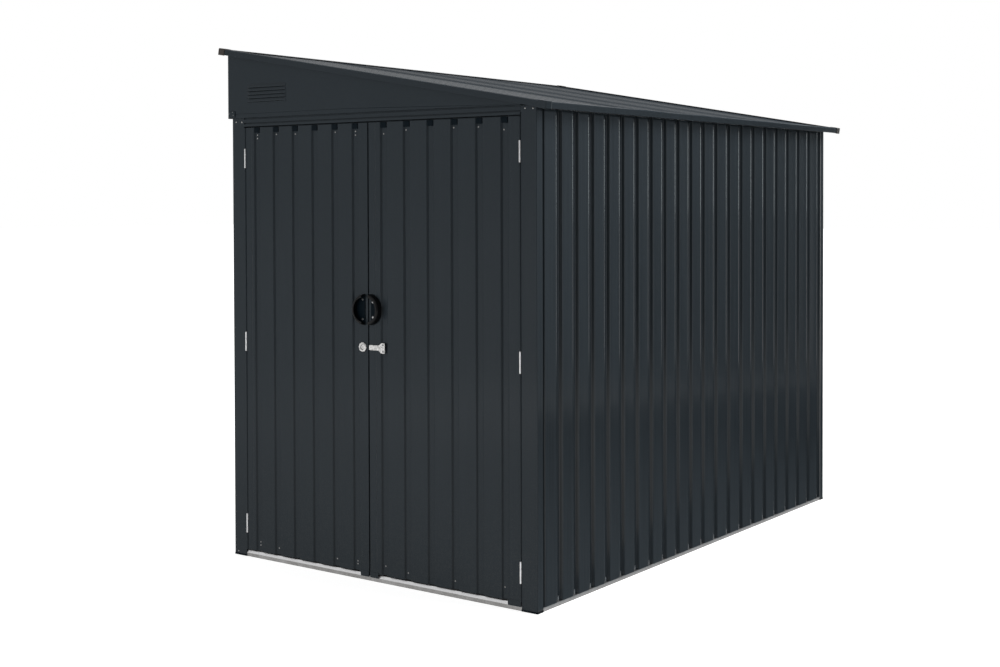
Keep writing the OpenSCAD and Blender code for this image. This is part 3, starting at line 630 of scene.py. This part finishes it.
# Tongues of the base rail stand in the side walls' grooves: broad at the foot, each narrows as the square
# root of the way to its rounded tip
tongue = dict(width=0.0055, height=0.019, sheet=0.0008, beside=0.0035, foot=0.0135, taper=0.97)
t = np.linspace(0, 1, 9)[:, None, None]
halfTongue = tongue["width"] / 2 * np.sqrt(1 - tongue["taper"] * t)
corner = np.array([[-1, 0], [1, 0], [1, 1], [-1, 1]], float)[None]
across, out = corner[..., :1], corner[..., 1:]
tongueShape = shell(np.concatenate([across * halfTongue, out * tongue["sheet"] + 0 * t,
                                    tongue["height"] * t + 0 * across], -1))
for side, sign in bothSides[::-1]:
    spots = [(sign * (halfWidth - rib["depth"]), y + tongue["beside"], tongue["foot"]) for y in sideGrooves]
    tongues = repeated(tongueShape, spots, ((0, 1, 0), (sign, 0, 0), (0, 0, 1)))
    makePiece(f"{side}RailTongues", [tongues], [bright])

# These keep the frame's own shape
for node in ("base_rail_left", "base_rail_right", "base_rail_back", "middle_rails", "top_rail_high",
             "top_rail_low", "roof_purlin"):
    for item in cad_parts[node].material_slots:
        item.material = zinc
print("frame ready")


# Header, gables, fascia and vent
header = dict(lip=0.010, out=0.004, hem=0.0018, sheet=0.0015, depth=0.036, stop=0.012, joggle=0.0055,
              line=0.0044, slope=0.0008, under=0.0008, lipSheet=0.0008, lipBends=(0, 0.0014, 0.0007, 0),
              bandBends=(0, 0.0002, 0.0002, 0.0002, 0.0002, 0.002, 0.001, 0))
low, high = span("door_header")
bottom, lipTop = low[2] + header["under"], low[2] + header["lip"]
edge, joggle = header["line"] + header["slope"], header["joggle"]
corners = [[joggle, high[2]], [joggle, high[2] - header["line"]], [0, high[2] - edge], [0, lipTop + edge],
           [joggle, lipTop + header["line"]], [joggle, bottom], [header["depth"], bottom],
           [header["depth"], bottom - header["stop"]]]
band = folded(corners, header["bandBends"], header["sheet"])
corners = [[0, low[2]], [-header["out"], low[2]], [-header["out"], lipTop],
           [header["hem"] - header["out"], lipTop]]
lip = folded(corners, header["lipBends"], -header["lipSheet"])
band, lip = (level(section, (low[0], high[0], 12), frontY) for section in (band, lip))
remake("door_header", [band, bare(lip, 2)], [enamelLying, backCoat, enamel])

gable = dict(proud=0.004, sheet=0.0015, depth=0.034, crease=0.018, creaseWide=0.0016, creaseDeep=0.0013,
             edge=0.002, above=0.04, plainRows=(0.06, 0.12), room=0.01, bend=0.0006, turn=0.0008)
gableFront, gableBack = frontY - gable["proud"], backY + gable["proud"]
ventLow, ventHigh = span("front_vent")


def gablePanel(node, faceY, inward, hole=None):
    # Rows rise from the lower edge to the sloping top; on its low side they are squeezed in step with it
    low, high = span(node)
    x = np.unique(np.concatenate([np.linspace(low[0], high[0], 40)] + ([hole[:2]] if hole else [])))
    crease = gable["crease"] + gable["creaseWide"] * np.array([-1, 0, 1])
    upper = [h - low[2] for h in hole[2:]] if hole else gable["plainRows"]
    rows = np.array([0.0, gable["edge"], *crease, gable["above"], *upper])
    top = underRoofZ(x) - low[2]
    squeeze = np.minimum(1, (top - gable["edge"]) / (rows[-1] + gable["room"]))
    z = np.concatenate([low[2] + rows[:, None] * squeeze, [low[2] + top]])
    sunk = np.zeros((len(z), 1))
    sunk[3] = inward * gable["creaseDeep"]
    grid = np.stack([np.broadcast_to(x, z.shape), faceY + sunk + 0 * z, z], -1)
    keep = np.ones((len(z) - 1, len(x) - 1), bool)
    if hole:
        between = (x[:-1] + x[1:]) / 2
        keep[len(rows) - 2, (between > hole[0]) & (between < hole[1])] = False
    flange = folded([[0, gable["turn"]], [0, 0], [gable["depth"] * inward, 0]], gable["bend"],
                    gable["sheet"] * inward)
    flange = level(flange, (low[0], high[0], 2), faceY, low[2])
    remake(node, [slab(grid, inward * gable["sheet"], keep), flange], [enamelLying, backCoat])


gablePanel("front_gable", gableFront, 1, [ventLow[0], ventHigh[0], ventLow[2], ventHigh[2]])
gablePanel("back_gable", gableBack, -1)

# Louvres: each blade stands out as a half sine that is fullest below its middle and keeps a narrow
# slot open under its lower edge, and both its ends round off as a quarter of an ellipse
vent = dict(border=0.002, blades=5, out=0.0046, sheet=0.0012, tip=0.02, open=0.08, rim=0.6, edge=0.001,
            start=0.16, skew=0.75, crowd=1.5)
left, right = ventLow[0] + vent["border"], ventHigh[0] - vent["border"]
pitch = (ventHigh[2] - ventLow[2] - 2 * vent["border"]) / vent["blades"]
tip = vent["tip"] * np.linspace(0, 1, 8) ** vent["crowd"]
x = np.concatenate([[ventLow[0], ventLow[0] + vent["border"] * vent["rim"]], left + tip,
                    np.linspace(left + vent["tip"], right - vent["tip"], 12)[1:-1], right - tip[::-1],
                    [ventHigh[0] - vent["border"] * vent["rim"], ventHigh[0]]])
ends = np.minimum(x - left, right - x) / vent["tip"]
ends = np.sqrt(np.clip(1 - (1 - np.clip(ends, 0, 1)) ** 2, 0, 1))
blade = np.linspace(vent["open"], 1, 11)
risen = vent["start"] + (1 - vent["start"]) * (blade - vent["open"]) / (1 - vent["open"])
swell = np.tile(np.append(0.0, np.sin(risen ** vent["skew"] * math.pi)), vent["blades"])
z = np.arange(vent["blades"])[:, None] + np.append(0.0, blade)
z = (ventLow[2] + vent["border"] + pitch * z).ravel()
z = np.concatenate([[ventLow[2], ventLow[2] + vent["edge"]], z, [ventHigh[2] - vent["edge"], ventHigh[2]]])
stand = vent["out"] * np.pad(swell, 2)[:, None] * ends[None]
grid = np.stack([np.broadcast_to(x, stand.shape), gableFront - stand,
                 np.broadcast_to(z[:, None], stand.shape)], -1)
keep = np.ones((len(z) - 1, len(x) - 1), bool)
slotRows = 2 + np.arange(vent["blades"]) * (len(blade) + 1)
inside = (x[:-1] >= left - 1e-6) & (x[1:] <= right + 1e-6)
keep[np.ix_(slotRows, np.where(inside)[0])] = False
remake("front_vent", [slab(grid, vent["sheet"], keep)], [enamelLying, backCoat], crease=50)

# Moulded blocks at the gables' outer lower corners: x, z and the outward way follow superellipses
block = dict(width=0.038, height=0.026, out=0.0055, power=0.28, margin=0.0045, foot=0.0004,
             screws=((-0.009, 0.004), (0.006, 0.008), (0.010, -0.004)))
u = np.linspace(0, math.pi / 2, 9)[:, None]
v = fullTurn(40)[None]


def squared(value):
    return np.sign(value) * np.abs(value) ** block["power"]


grid = np.stack([block["width"] / 2 * squared(np.sin(u)) * squared(np.cos(v)),
                 block["height"] / 2 * squared(np.sin(u)) * squared(np.sin(v)),
                 block["out"] * np.cos(u) ** 0.5 + 0 * v], -1)
grid = np.concatenate([grid, grid[-1:] * [1, 1, 0] - [0, 0, block["foot"]], grid[-1:] * 0])
low, high = span("front_gable")
blockX = low[0] + block["width"] / 2 + block["margin"]
blockZ = low[2] + block["height"] / 2 + block["margin"]
blocks = [repeated(closedRows(grid), [[blockX, faceY, blockZ]], facing)
          for faceY, facing in ((gableFront, facingFront), (gableBack, facingBack))]
makePiece("gableCornerBlocks", blocks, [enamelLying], slot="cap_plastic")

fascia = dict(bend=0.0025, sheet=0.0015)
low, high = span("high_side_fascia")
corners = [[low[0], underRoofZ(low[0])], [low[0], low[2]], [high[0], low[2]]]
section = folded(corners, fascia["bend"], fascia["sheet"])
shape = carried(section, (low[1], high[1], 12), lambda x, z, y: (x, y, z))
remake("high_side_fascia", [shape], [enamelLying, backCoat])
print("gables ready")


# Roof trims and corner caps
trim = dict(flange=0.024, height=roof["trimHeight"], fold=0.0075, bend=0.0032, foldBend=0.0016, sheet=0.0015,
            cap=0.034, proud=0.002, gap=0.0004, joints=(0.437, 1.340), capRadius=0.004, capWall=0.003,
            capGap=0.0002, faceStart=0.6)


def trimSection(fold):
    corners = [[-trim["flange"], 0], [0, 0], [0, -trim["height"]], [-fold, -trim["height"]]]
    return folded(corners, [0, trim["bend"], trim["foldBend"], 0], -trim["sheet"])


def trimAlong(node, half, place, joints=(), fold=trim["fold"], faceFinish=enamelSide):
    # Lengths that butt at the joints, a hair apart; below the bend the face takes another copy of the
    # enamel, with its own painted sheen
    section = trimSection(fold)
    stops = [half[0], *joints, half[1]]
    parts = []
    for a, b in zip(stops[:-1], stops[1:]):
        length = carried(section, (a + trim["gap"], b - trim["gap"], 6), place)
        parts.append(painted(length, section, section[:, 1] < 1e-6 - trim["bend"] * trim["faceStart"], 2))
    remake(node, parts, [enamelRoof, backCoat, faceFinish])


capReach = trim["cap"] + trim["capGap"]
alongY, alongX = (roofFrontY + capReach, roofBackY - capReach), (capReach - roofHalf, roofHalf - capReach)
joints = [frontY + far for far in trim["joints"]]
trimAlong("eave_trim", alongY, lambda a, d, s: onRoof(roofHalf + a, s, d), joints)
trimAlong("high_edge_trim", alongY, lambda a, d, s: onRoof(-roofHalf - a, s, d), joints)
trimAlong("verge_trim_front", alongX, lambda a, d, s: onRoof(s, roofFrontY - a, d),
          fold=gableFront - roofFrontY, faceFinish=enamelLying)
trimAlong("verge_trim_back", alongX, lambda a, d, s: onRoof(s, roofBackY + a, d))


def cornerCap(signX, signY):
    # Three faces of a block that meet at its outer corner, pulled in to a rounded block:
    # every point lies one radius from the nearest point of a smaller, inner block
    radius, n = trim["capRadius"], 15
    size = np.array([trim["cap"], trim["cap"], trim["height"] + trim["proud"]]) + trim["proud"]
    a, b = np.meshgrid(np.linspace(0, 1, n), np.linspace(0, 1, n), indexing="ij")
    one = np.ones_like(a)
    p = np.stack([np.stack(face, -1) for face in ((one, a, b), (a, one, b), (a, b, one))]) * size
    core = np.minimum(p, size - radius)
    spoke = p - core
    far = np.linalg.norm(spoke, axis=-1, keepdims=True)
    p = np.where(far > 1e-9, core + spoke * radius / np.maximum(far, 1e-9), p) - size + trim["proud"]
    ids = np.arange(3 * n * n).reshape(3, n, n)
    quads = np.stack([ids[:, :-1, :-1], ids[:, 1:, :-1], ids[:, 1:, 1:], ids[:, :-1, 1:]], -1).reshape(-1, 4)
    x, y, z = p[..., 0], p[..., 1], p[..., 2]
    edgeY = roofFrontY if signY < 0 else roofBackY
    verts = np.stack(onRoof(signX * (roofHalf + x), edgeY + signY * y, z), -1).reshape(-1, 3)
    # The four caps are one plastic part; the near low corner's cap takes the trim's enamel, painted light
    # where the lighting makes it read as the trim
    readsAsTrim = signX > 0 and signY < 0
    return verts, quads, np.repeat([1, 1, 2] if readsAsTrim else [0, 0, 0], len(quads) // 3)


capParts = [cornerCap(sx, sy) for sx in (-1, 1) for sy in (-1, 1)]
caps = remake("roof_corner_caps", capParts, [capPlastic, enamelLying, enamelRoof])
wall = caps.modifiers.new("wall", "SOLIDIFY")
wall.thickness = trim["capWall"]
wall.offset = -1
print("roof trims ready")


# Door frames
stile = dict(face=0.034, depth=0.030, back=0.026, sheet=0.0015, bend=0.0028, outerBend=0.0012, bead=0.0044,
             beadShift=0.0002, beadGap=0.001)
hinge = dict(length=0.080, barrel=0.0035, pin=0.002, plate=0.0014, tail=0.0236, tab=0.0055, tabGap=0.0009,
             seam=0.0003, head=0.0009, chamfer=0.0006, crown=0.0002, roll=300)
leafRail = dict(height=0.046, sheet=0.0015, bend=0.0025)
foot = dict(low=0.0145, high=0.036, sheet=0.0008, meeting=0.042, hinged=0.052, beyond=0.006, narrow=0.05,
            thin=0.4)


def hingesOf(side, sign):
    # Across to the pins' axis, and the height where each of the three hinges starts
    low, high = span(f"post_hinges_{side}")
    pinX = sign * (min(abs(low[0]), abs(high[0])) + hinge["barrel"])
    return pinX, [low[2], (low[2] + high[2] - hinge["length"]) / 2, high[2] - hinge["length"]]


for side, sign in bothSides:
    low, high = span(f"{side}_door_stiles")
    corners = [[stile["face"], 0], [0, 0], [0, stile["depth"]], [stile["back"], stile["depth"]]]
    section = folded(corners, [0, stile["outerBend"], stile["bend"], 0], -stile["sheet"])
    parts = [upright(section, (low[2], high[2], 8), edge, frontY, way)
             for edge, way in ((low[0], 1), (high[0], -1))]
    # A round bead along the hinge side, about the pins' axis, that stops at each hinge
    pinX, starts = hingesOf(side, sign)
    stops = [low[2], *[z for start in starts for z in (start, start + hinge["length"])], high[2]]
    angle = fullTurn(20)
    circle = stile["bead"] * np.stack([np.cos(angle), np.sin(angle)], -1) - [sign * stile["beadShift"], 0]
    for a, b in zip(stops[::2], stops[1::2]):
        parts.append(bare(upright(circle, (a + stile["beadGap"], b - stile["beadGap"], 4), pinX, frontY)))
    remake(f"{side}_door_stiles", parts, [enamel, backCoat])
    # Feet hang from the stiles in front of the sill, thinned to a lip as the fourth power of the way down
    edges = [(high[0] if side == "left" else low[0], sign, foot["meeting"])]
    if side == "right":
        edges.append((high[0] + foot["beyond"], -sign, foot["hinged"] + foot["beyond"]))
    feet = []
    for edge, inwards, width in edges:
        outline = roundLine([[-1, 1], [-1, -1], [1, -1], [1, 1]], 0.2, 4, 0.01, True)
        outline = outline * [width / 2, foot["sheet"]]
        down = lambda h: ((foot["high"] - h) / (foot["high"] - foot["low"])) ** 4
        feet.append(carried(outline, (foot["low"], foot["high"], 10), lambda a, d, h: (
            edge + inwards * width / 2 + a * (1 - foot["narrow"] * down(h)),
            frontY - foot["sheet"] + d * (1 - foot["thin"] * down(h)), h)))
    makePiece(f"{side}StileFeet", feet, [enamel], f"{side}_door")
    low, high = span(f"{side}_door_rails")
    depth, height = high[1] - low[1], leafRail["height"]
    corners = [[depth, 0], [0, 0], [0, height], [depth, height]]
    section = folded(corners, leafRail["bend"], -leafRail["sheet"])
    parts = [level(section, (low[0], high[0], 8), low[1], bottom)
             for bottom in (low[2], (low[2] + high[2] - height) / 2, high[2] - height)]
    remake(f"{side}_door_rails", parts, [enamelLying])
print("door frames ready")


# Hinges
def rolledPlate(tail, sign, low, high, place):
    # A plate that runs forward and is rolled round the pin, five sixths of a turn at one radius; its flat
    # part is enamelled with the frame, the roll is bare
    turn = -np.radians(np.linspace(0, hinge["roll"], 26))
    line = np.concatenate([[tail], hinge["barrel"] * np.stack([np.cos(turn), np.sin(turn)], -1)])
    section = thick(line, -hinge["plate"]) * [sign, 1]
    verts, quads, paint = bare(carried(section, (low + hinge["seam"], high - hinge["seam"], 2), place))
    paint[[0, len(section) - 2, len(section) - 1]] = 1
    return verts, quads, paint


long, third, head = hinge["length"], hinge["length"] / 3, hinge["head"]
shoulder, neck = hinge["barrel"] - 2 * hinge["chamfer"], hinge["barrel"] - hinge["chamfer"]
pinRadius, crown = hinge["pin"], hinge["crown"]
pin = turned([[0, 0], [shoulder, crown], [neck, head], [pinRadius, head], [pinRadius, long - head],
              [neck, long - head], [shoulder, long - crown], [0, long]])
postTail, leafTail = [hinge["barrel"], hinge["tail"]], [hinge["barrel"] + hinge["tabGap"], hinge["tab"]]
for side, sign in bothSides:
    pinX, starts = hingesOf(side, sign)
    postParts, leafParts = [], []
    for start in starts:
        place = lambda a, d, h: (pinX + a, frontY + d, start + h)
        postParts.append(rolledPlate(postTail, sign, head, third, place))
        postParts.append(rolledPlate(postTail, sign, 2 * third, long - head, place))
        leafParts.append(rolledPlate(leafTail, -sign, third, 2 * third, place))
        postParts.append(repeated(pin, [[pinX, frontY, start]], facingUp))
    remake(f"post_hinges_{side}", postParts, [bright, enamel], f"{side}PostHinges")
    remake(f"{side}_door_hinges", leafParts, [bright, enamel])
print("hinges ready")


# Handles
handle = dict(radius=0.061, width=0.054, out=0.0258, lean=0.004, bevel=0.004, lip=0.010, sheet=0.003,
              soft=0.0006, step=0.008, bends=(0, 0.0034, 0.0022, 0.0022, 0), screw=(0.0046, 0.0022))
# The handles' screws are alike: the left ones, in the shade of their cup, are painted dark and the right
# ones take the brighter zinc, a painted highlight
handleScrews = dict(left=(0.0125, 0.038, shadedSteel), right=(0.0095, 0.0295, bright))


def dish():
    # Section from the straight side out to the wall, up it and in along its lip, taken round the
    # dish's centre: at every radius the turn stops where cos(turn) = offset / radius, on one flat cut
    offset = handle["radius"] - handle["width"]
    edge = handle["radius"] - handle["lean"]
    corners = [[offset, 0], [handle["radius"], 0], [edge, handle["out"] - handle["bevel"]],
               [edge - handle["bevel"], handle["out"]], [edge - handle["lip"], handle["out"]]]
    loop = thick(refined(roundLine(corners, handle["bends"], 4), handle["step"]), handle["sheet"])
    loop[:, 0] = np.maximum(loop[:, 0], offset)
    stations = np.linspace(-1, 1, 49)
    angle = stations[:, None] * np.arccos(np.clip(offset / loop[None, :, 0], -1, 1))
    x = loop[None, :, 0] * np.cos(angle) - offset
    y = loop[None, :, 0] * np.sin(angle)
    z = np.broadcast_to(loop[None, :, 1], x.shape)
    verts, quads, paint = bare(shell(np.stack([x, y, z], -1)))
    # The cup's floor takes the darker, duller plastic: painted shade inside the cup
    onFloor = loop[:, 1] < handle["sheet"] + 1e-4
    cells = (len(stations) - 1) * len(loop)
    paint[:cells] = np.tile((onFloor & np.roll(onFloor, -1)) * 1, len(stations) - 1)
    return verts, quads, paint


cross = dict(half=0.16, reach=0.62, sunk=0.45)


def crossScrew(radius, height):
    # Low dome, height * sqrt(1 - (r / radius)^2), with a cross sunk into its middle
    r = radius * np.linspace(0, 1, 8)[:, None]
    angle = fullTurn(24)[None]
    x, y = r * np.cos(angle), r * np.sin(angle)
    dome = height * np.sqrt(np.clip(1 - (r / radius) ** 2, 0, 1))
    inCross = (np.minimum(np.abs(x), np.abs(y)) < cross["half"] * radius) & (r < cross["reach"] * radius)
    grid = np.stack([x, y, dome - cross["sunk"] * height * inCross], -1)
    return closedRows(np.concatenate([grid, grid[:1] * 0]))


def screwPair(name, size, x, y, z, apart, finish, body):
    spots = [[x, y, z - apart], [x, y, z + apart]]
    makePiece(name, [repeated(crossScrew(*size), spots, facingFront)], [finish], body, crease=50)


for side, sign in bothSides:
    low, high = span(f"{side}_door_handle")
    straight, mid = low[0] if sign > 0 else high[0], (low[2] + high[2]) / 2
    grip = repeated(dish(), [[straight, high[1], mid]], ((sign, 0, 0), (0, 0, 1), (0, -1, 0)))
    grip = remake(f"{side}_door_handle", [grip], [blackPlastic, darkPlasticAndShade])
    soft = grip.modifiers.new("soft", "BEVEL")
    soft.width = handle["soft"]
    soft.segments = 2
    soft.limit_method = "ANGLE"
    soft.angle_limit = math.radians(50)
    far, apart, finish = handleScrews[side]
    screwPair(f"{side}HandleScrews", handle["screw"], straight + sign * far, high[1] - handle["sheet"],
              mid, apart, finish, f"{side}_door")

lock = dict(rose=0.019, out=0.006, barrel=0.0085, sunk=0.0028, barHeight=0.020, barOut=0.004, flare=0.040,
            end=0.016, taper=0.014, bevel=0.0008, barBends=(0, 0.004, 0.012, 0.006, 0.004, 0), screws=0.0075,
            screwSunk=0.0002, screw=(0.0042, 0.001), key=(0.0012, 0.007))
rose, out, barrel, sunk = lock["rose"], lock["out"], lock["barrel"], lock["sunk"]
roseLine = [[0, sunk], [barrel - 0.0006, sunk], [barrel, sunk - 0.0006], [barrel + 0.0002, sunk - 0.0014],
            [barrel + 0.001, sunk - 0.0014], [barrel + 0.0014, out - 0.0007], [barrel + 0.0022, out],
            [rose - 0.0034, out], [rose - 0.0018, out - 0.0005], [rose - 0.0006, out - 0.0016],
            [rose, out - 0.0032], [rose, 0], [0, 0]]
low, high = span("left_door_rose")
roseSpot = [(low[0] + high[0]) / 2, high[1], (low[2] + high[2]) / 2]
remake("left_door_rose", [repeated(turned(roseLine, 48), [roseSpot], facingFront)], [satin], crease=28)
wide, tall = np.array(lock["key"]) / 2
keyLine = roundLine([[-wide, -tall], [-wide, tall], [wide, tall], [wide, -tall]], 0.0005, 3, 0.0001, True)
keyHole = upright(keyLine, (sunk - 0.0005, sunk + 0.0001, 2), 0, 0)
makePiece("leftKeyHole", [repeated(keyHole, [roseSpot], facingFront)], [blackPlastic], "left_door")

# Half of the bar's outline from the middle of one end to the middle of the other, then its mirror image;
# the top ring is drawn in by the bevel
low, high = span("right_door_bar")
barLong = high[0] - low[0]
half = [[0, 0], [0, lock["barHeight"] / 2], [barLong - lock["end"] - lock["taper"], lock["barHeight"] / 2],
        [barLong - lock["end"], lock["flare"] / 2], [barLong, lock["flare"] / 2], [barLong, 0]]
line = roundLine(half, lock["barBends"])
outline = np.concatenate([line, line[::-1] * [1, -1]])
inset = np.clip(outline, [lock["bevel"], -1], [barLong - lock["bevel"], 1])
inset[:, 1] -= np.sign(inset[:, 1]) * np.minimum(np.abs(inset[:, 1]), lock["bevel"])
rings = np.stack([np.insert(ring, 2, height, 1) for ring, height in (
    (outline, 0.0), (outline, lock["barOut"] - lock["bevel"]), (inset, lock["barOut"]))])
barSpot = [low[0], high[1], (low[2] + high[2]) / 2]
remake("right_door_bar", [repeated(shell(rings), [barSpot], facingFront)], [satin], crease=28)
screwPair("rightBarScrews", lock["screw"], high[0] - lock["end"] / 2, low[1] + lock["screwSunk"],
          barSpot[2], lock["flare"] / 2 - lock["screws"], shadedSteel, "right_door")
print("handles ready")


# Rivets: x and height on each leaf, then on the posts
rivet = dict(radius=0.0032, height=0.0015, blockSize=0.5, blockSunk=0.0004, topShift=(-0.006, 0.0),
             lowShift=(-0.0035, -0.0035))
doorRivets = dict(
    left=[(-0.618, 1.725), (-0.618, 1.711), (-0.511, 1.725), (-0.406, 1.723), (-0.1925, 1.724),
          (-0.087, 1.724), (-0.087, 1.710), (-0.615, 0.070), (-0.615, 0.057), (-0.511, 0.059),
          (-0.194, 0.062), (-0.087, 0.069), (-0.087, 0.058)],
    right=[(0.055, 1.711), (0.166, 1.7225), (0.392, 1.724), (0.505, 1.723), (0.619, 1.710), (0.055, 0.069),
           (0.166, 0.059), (0.390, 0.063), (0.616, 0.076)])
postRivets = [(0.7106, 1.782), (0.745, 1.781), (-0.738, 1.780), (-0.705, 1.779), (-0.739, 0.015)]
t = np.linspace(0, math.pi / 2, 5)
dome = np.stack([rivet["radius"] * np.sin(t), rivet["height"] * np.cos(t)], -1)
rivetShape = turned(np.concatenate([dome, [[0, 0]]]), 12)


def rivets(name, spots, y, body="root", size=1.0):
    places = np.insert(np.array(spots), 1, y, 1)
    shape = (rivetShape[0] * size, *rivetShape[1:])
    makePiece(name, [repeated(shape, places, facingFront)], [zinc], body)


for side, spots in doorRivets.items():
    shifts = np.where(np.array(spots)[:, 1:] < 1, [rivet["lowShift"]], [rivet["topShift"]])
    rivets(f"{side}DoorRivets", np.array(spots) + shifts, frontY + doorSheet["deep"], f"{side}_door")
rivets("postRivets", postRivets, frontY)
rivets("blockRivets", [(blockX + a, blockZ + b) for a, b in block["screws"]],
       gableFront - block["out"] + rivet["blockSunk"], size=rivet["blockSize"])
print("rivets ready")


# Floor, light and camera
def lightPathMix(tree, plain, seen):
    # What the eye and the gloss see of it is the second shader, what lights the object is the first
    path = addNode(tree, "LightPath").outputs
    either = mathNode("MAXIMUM", path["Is Camera Ray"], path["Is Glossy Ray"])
    either = mathNode("MAXIMUM", either, path["Is Transmission Ray"])
    return addNode(tree, "MixShader", {0: either, 1: plain, 2: seen}).outputs[0]


def addObject(name, data):
    item = bpy.data.objects.new(name, data)
    bpy.context.scene.collection.objects.link(item)
    return item


studio = dict(worldLight=0.42, floorColour=(0.8, 0.8, 0.8, 1), glowNear=0.72, glowFar=1.0, nearEdge=1.6,
              farEdge=5.0, floorHalf=60, floorZ=-0.001)
world = bpy.data.worlds.new("studio")
bpy.context.scene.world = world
world.use_nodes = True
tree = world.node_tree
plain = tree.nodes["Background"]
feed(plain.inputs["Strength"], studio["worldLight"])
feed(plain.inputs["Color"], (1, 1, 1, 1))
seen = addNode(tree, "Background", {"Color": (1, 1, 1, 1)})
feed(tree.nodes["World Output"].inputs["Surface"], lightPathMix(tree, plain.outputs[0], seen.outputs[0]))

floorMesh = bpy.data.meshes.new("studioFloor")
reach = studio["floorHalf"]
corners = ((-1, -1), (1, -1), (1, 1), (-1, 1))
floorMesh.from_pydata([(x * reach, y * reach, studio["floorZ"]) for x, y in corners], [], [(0, 1, 2, 3)])
floor = addObject("studioFloor", floorMesh)
floor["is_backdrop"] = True
pale, tree, shader = newMaterial("paleFloor", {
    "Base Color": studio["floorColour"], "Roughness": 0.9, "Specular IOR Level": 0.0})
place = addNode(tree, "TexCoord").outputs["Object"]
fromMiddle = addNode(tree, "VectorMath", {0: place}, operation="LENGTH").outputs["Value"]
brighter = ranged(fromMiddle, studio["nearEdge"], studio["farEdge"], studio["glowNear"], studio["glowFar"])
glow = addNode(tree, "Emission", {"Strength": brighter})
both = addNode(tree, "AddShader", {0: shader.outputs[0], 1: glow.outputs[0]})
feed(tree.nodes["Material Output"].inputs["Surface"], lightPathMix(tree, shader.outputs[0], both.outputs[0]))
floorMesh.materials.append(pale)


def softbox(name, spot, aim, size, power, colour=(1, 1, 1), gloss=False):
    lamp = bpy.data.lights.new(name, "AREA")
    lamp.shape = "RECTANGLE"
    lamp.size, lamp.size_y = size
    lamp.energy = power
    lamp.color = colour
    item = addObject(name, lamp)
    back = unit(np.array(spot, float) - np.array(aim, float))
    side = unit(np.cross([0, 0, 1], back))
    axes = np.stack([side, np.cross(back, side), back], -1)
    item.matrix_world = Matrix([[*row, p] for row, p in zip(axes, spot)] + [[0, 0, 0, 1]])
    item.visible_camera = False
    item.visible_glossy = gloss


softbox("keyRight", (4.2, 0.9, 4.8), (0.7, -0.5, 1.6), (3, 3), 215)
softbox("fillLow", (-1.0, -6.5, 1.0), (0, -1, 0.8), (4.5, 1.6), 165)
softbox("topBack", (0.0, 0.0, 7.0), (0, 0, 1.5), (4, 4), 150)
softbox("rimStrip", (0.6, 7.5, 2.9), (0.76, 0, 1.5), (4.4, 3.2), 135, (0.88, 0.98, 1.0), gloss=True)


def flag(name, corners, greys):
    # A card for the gloss alone, which neither the eye nor any shadow shows, with a grey at each corner
    mesh = bpy.data.meshes.new(name)
    mesh.from_pydata(corners, [], [(0, 1, 2, 3)])
    mesh.attributes.new("grey", "FLOAT", "POINT").data.foreach_set("value", greys)
    paint, tree, shader = newMaterial(name, {
        "Base Color": (0, 0, 0, 1), "Specular IOR Level": 0.0, "Emission Strength": 1.0})
    reader = addNode(tree, "Attribute", attribute_name="grey")
    feed(shader.inputs["Emission Color"], scaledColour((0.84, 0.99, 1.12), reader.outputs["Fac"]))
    mesh.materials.append(paint)
    card = addObject(name, mesh)
    card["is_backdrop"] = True
    for kind in ("camera", "diffuse", "shadow", "transmission"):
        setattr(card, "visible_" + kind, False)


def standing(x, y, farX, farY, top):
    return [(x, y, 0), (farX, farY, 0), (farX, farY, top), (x, y, top)]


def lying(*spots):
    return [(x, y, 0.002) for x, y in spots]


flag("flagNear", standing(4.6, 1.5, 3.3, 4.5, 3.0), [0.95, 0.1, 0.5, 1.2])
flag("flagFar", standing(3.3, 4.5, 2.65, 6.0, 3.0), [0.1, 0.0, 0.0, 0.5])
flag("flagEye", standing(2.2, -8.0, 7.0, -4.6, 4.0), [0.03] * 4)
flag("flagLow", lying((0.78, -1.3), (4.6, 1.5), (3.6, 3.0), (0.78, 3.0)), [0.6, 0.3, 0, 0])
flag("flagLowFar", lying((0.78, 3.0), (3.6, 3.0), (2.2, 7.0), (0.78, 7.0)), [0] * 4)

cameraSpot = dict(away=(3.66996, frontY - 4.19770, 1.46293), yaw=36.176, pitch=1.212, roll=-0.149,
                  lens=52.525, sensor=36, rise=-0.10365)
camera = bpy.data.cameras.new("camera")
camera.sensor_width = cameraSpot["sensor"]
camera.lens = cameraSpot["lens"]
camera.shift_y = cameraSpot["rise"]
eye = addObject("camera", camera)
yaw, pitch, roll = (math.radians(cameraSpot[k]) for k in ("yaw", "pitch", "roll"))
eye.matrix_world = (Matrix.Translation(cameraSpot["away"]) @ Matrix.Rotation(yaw, 4, "Z")
                    @ Matrix.Rotation(math.pi / 2 - pitch, 4, "X") @ Matrix.Rotation(roll, 4, "Z"))
bpy.context.scene.camera = eye
bpy.context.scene.view_settings.view_transform = "Standard"
print("studio ready")

low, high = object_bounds()
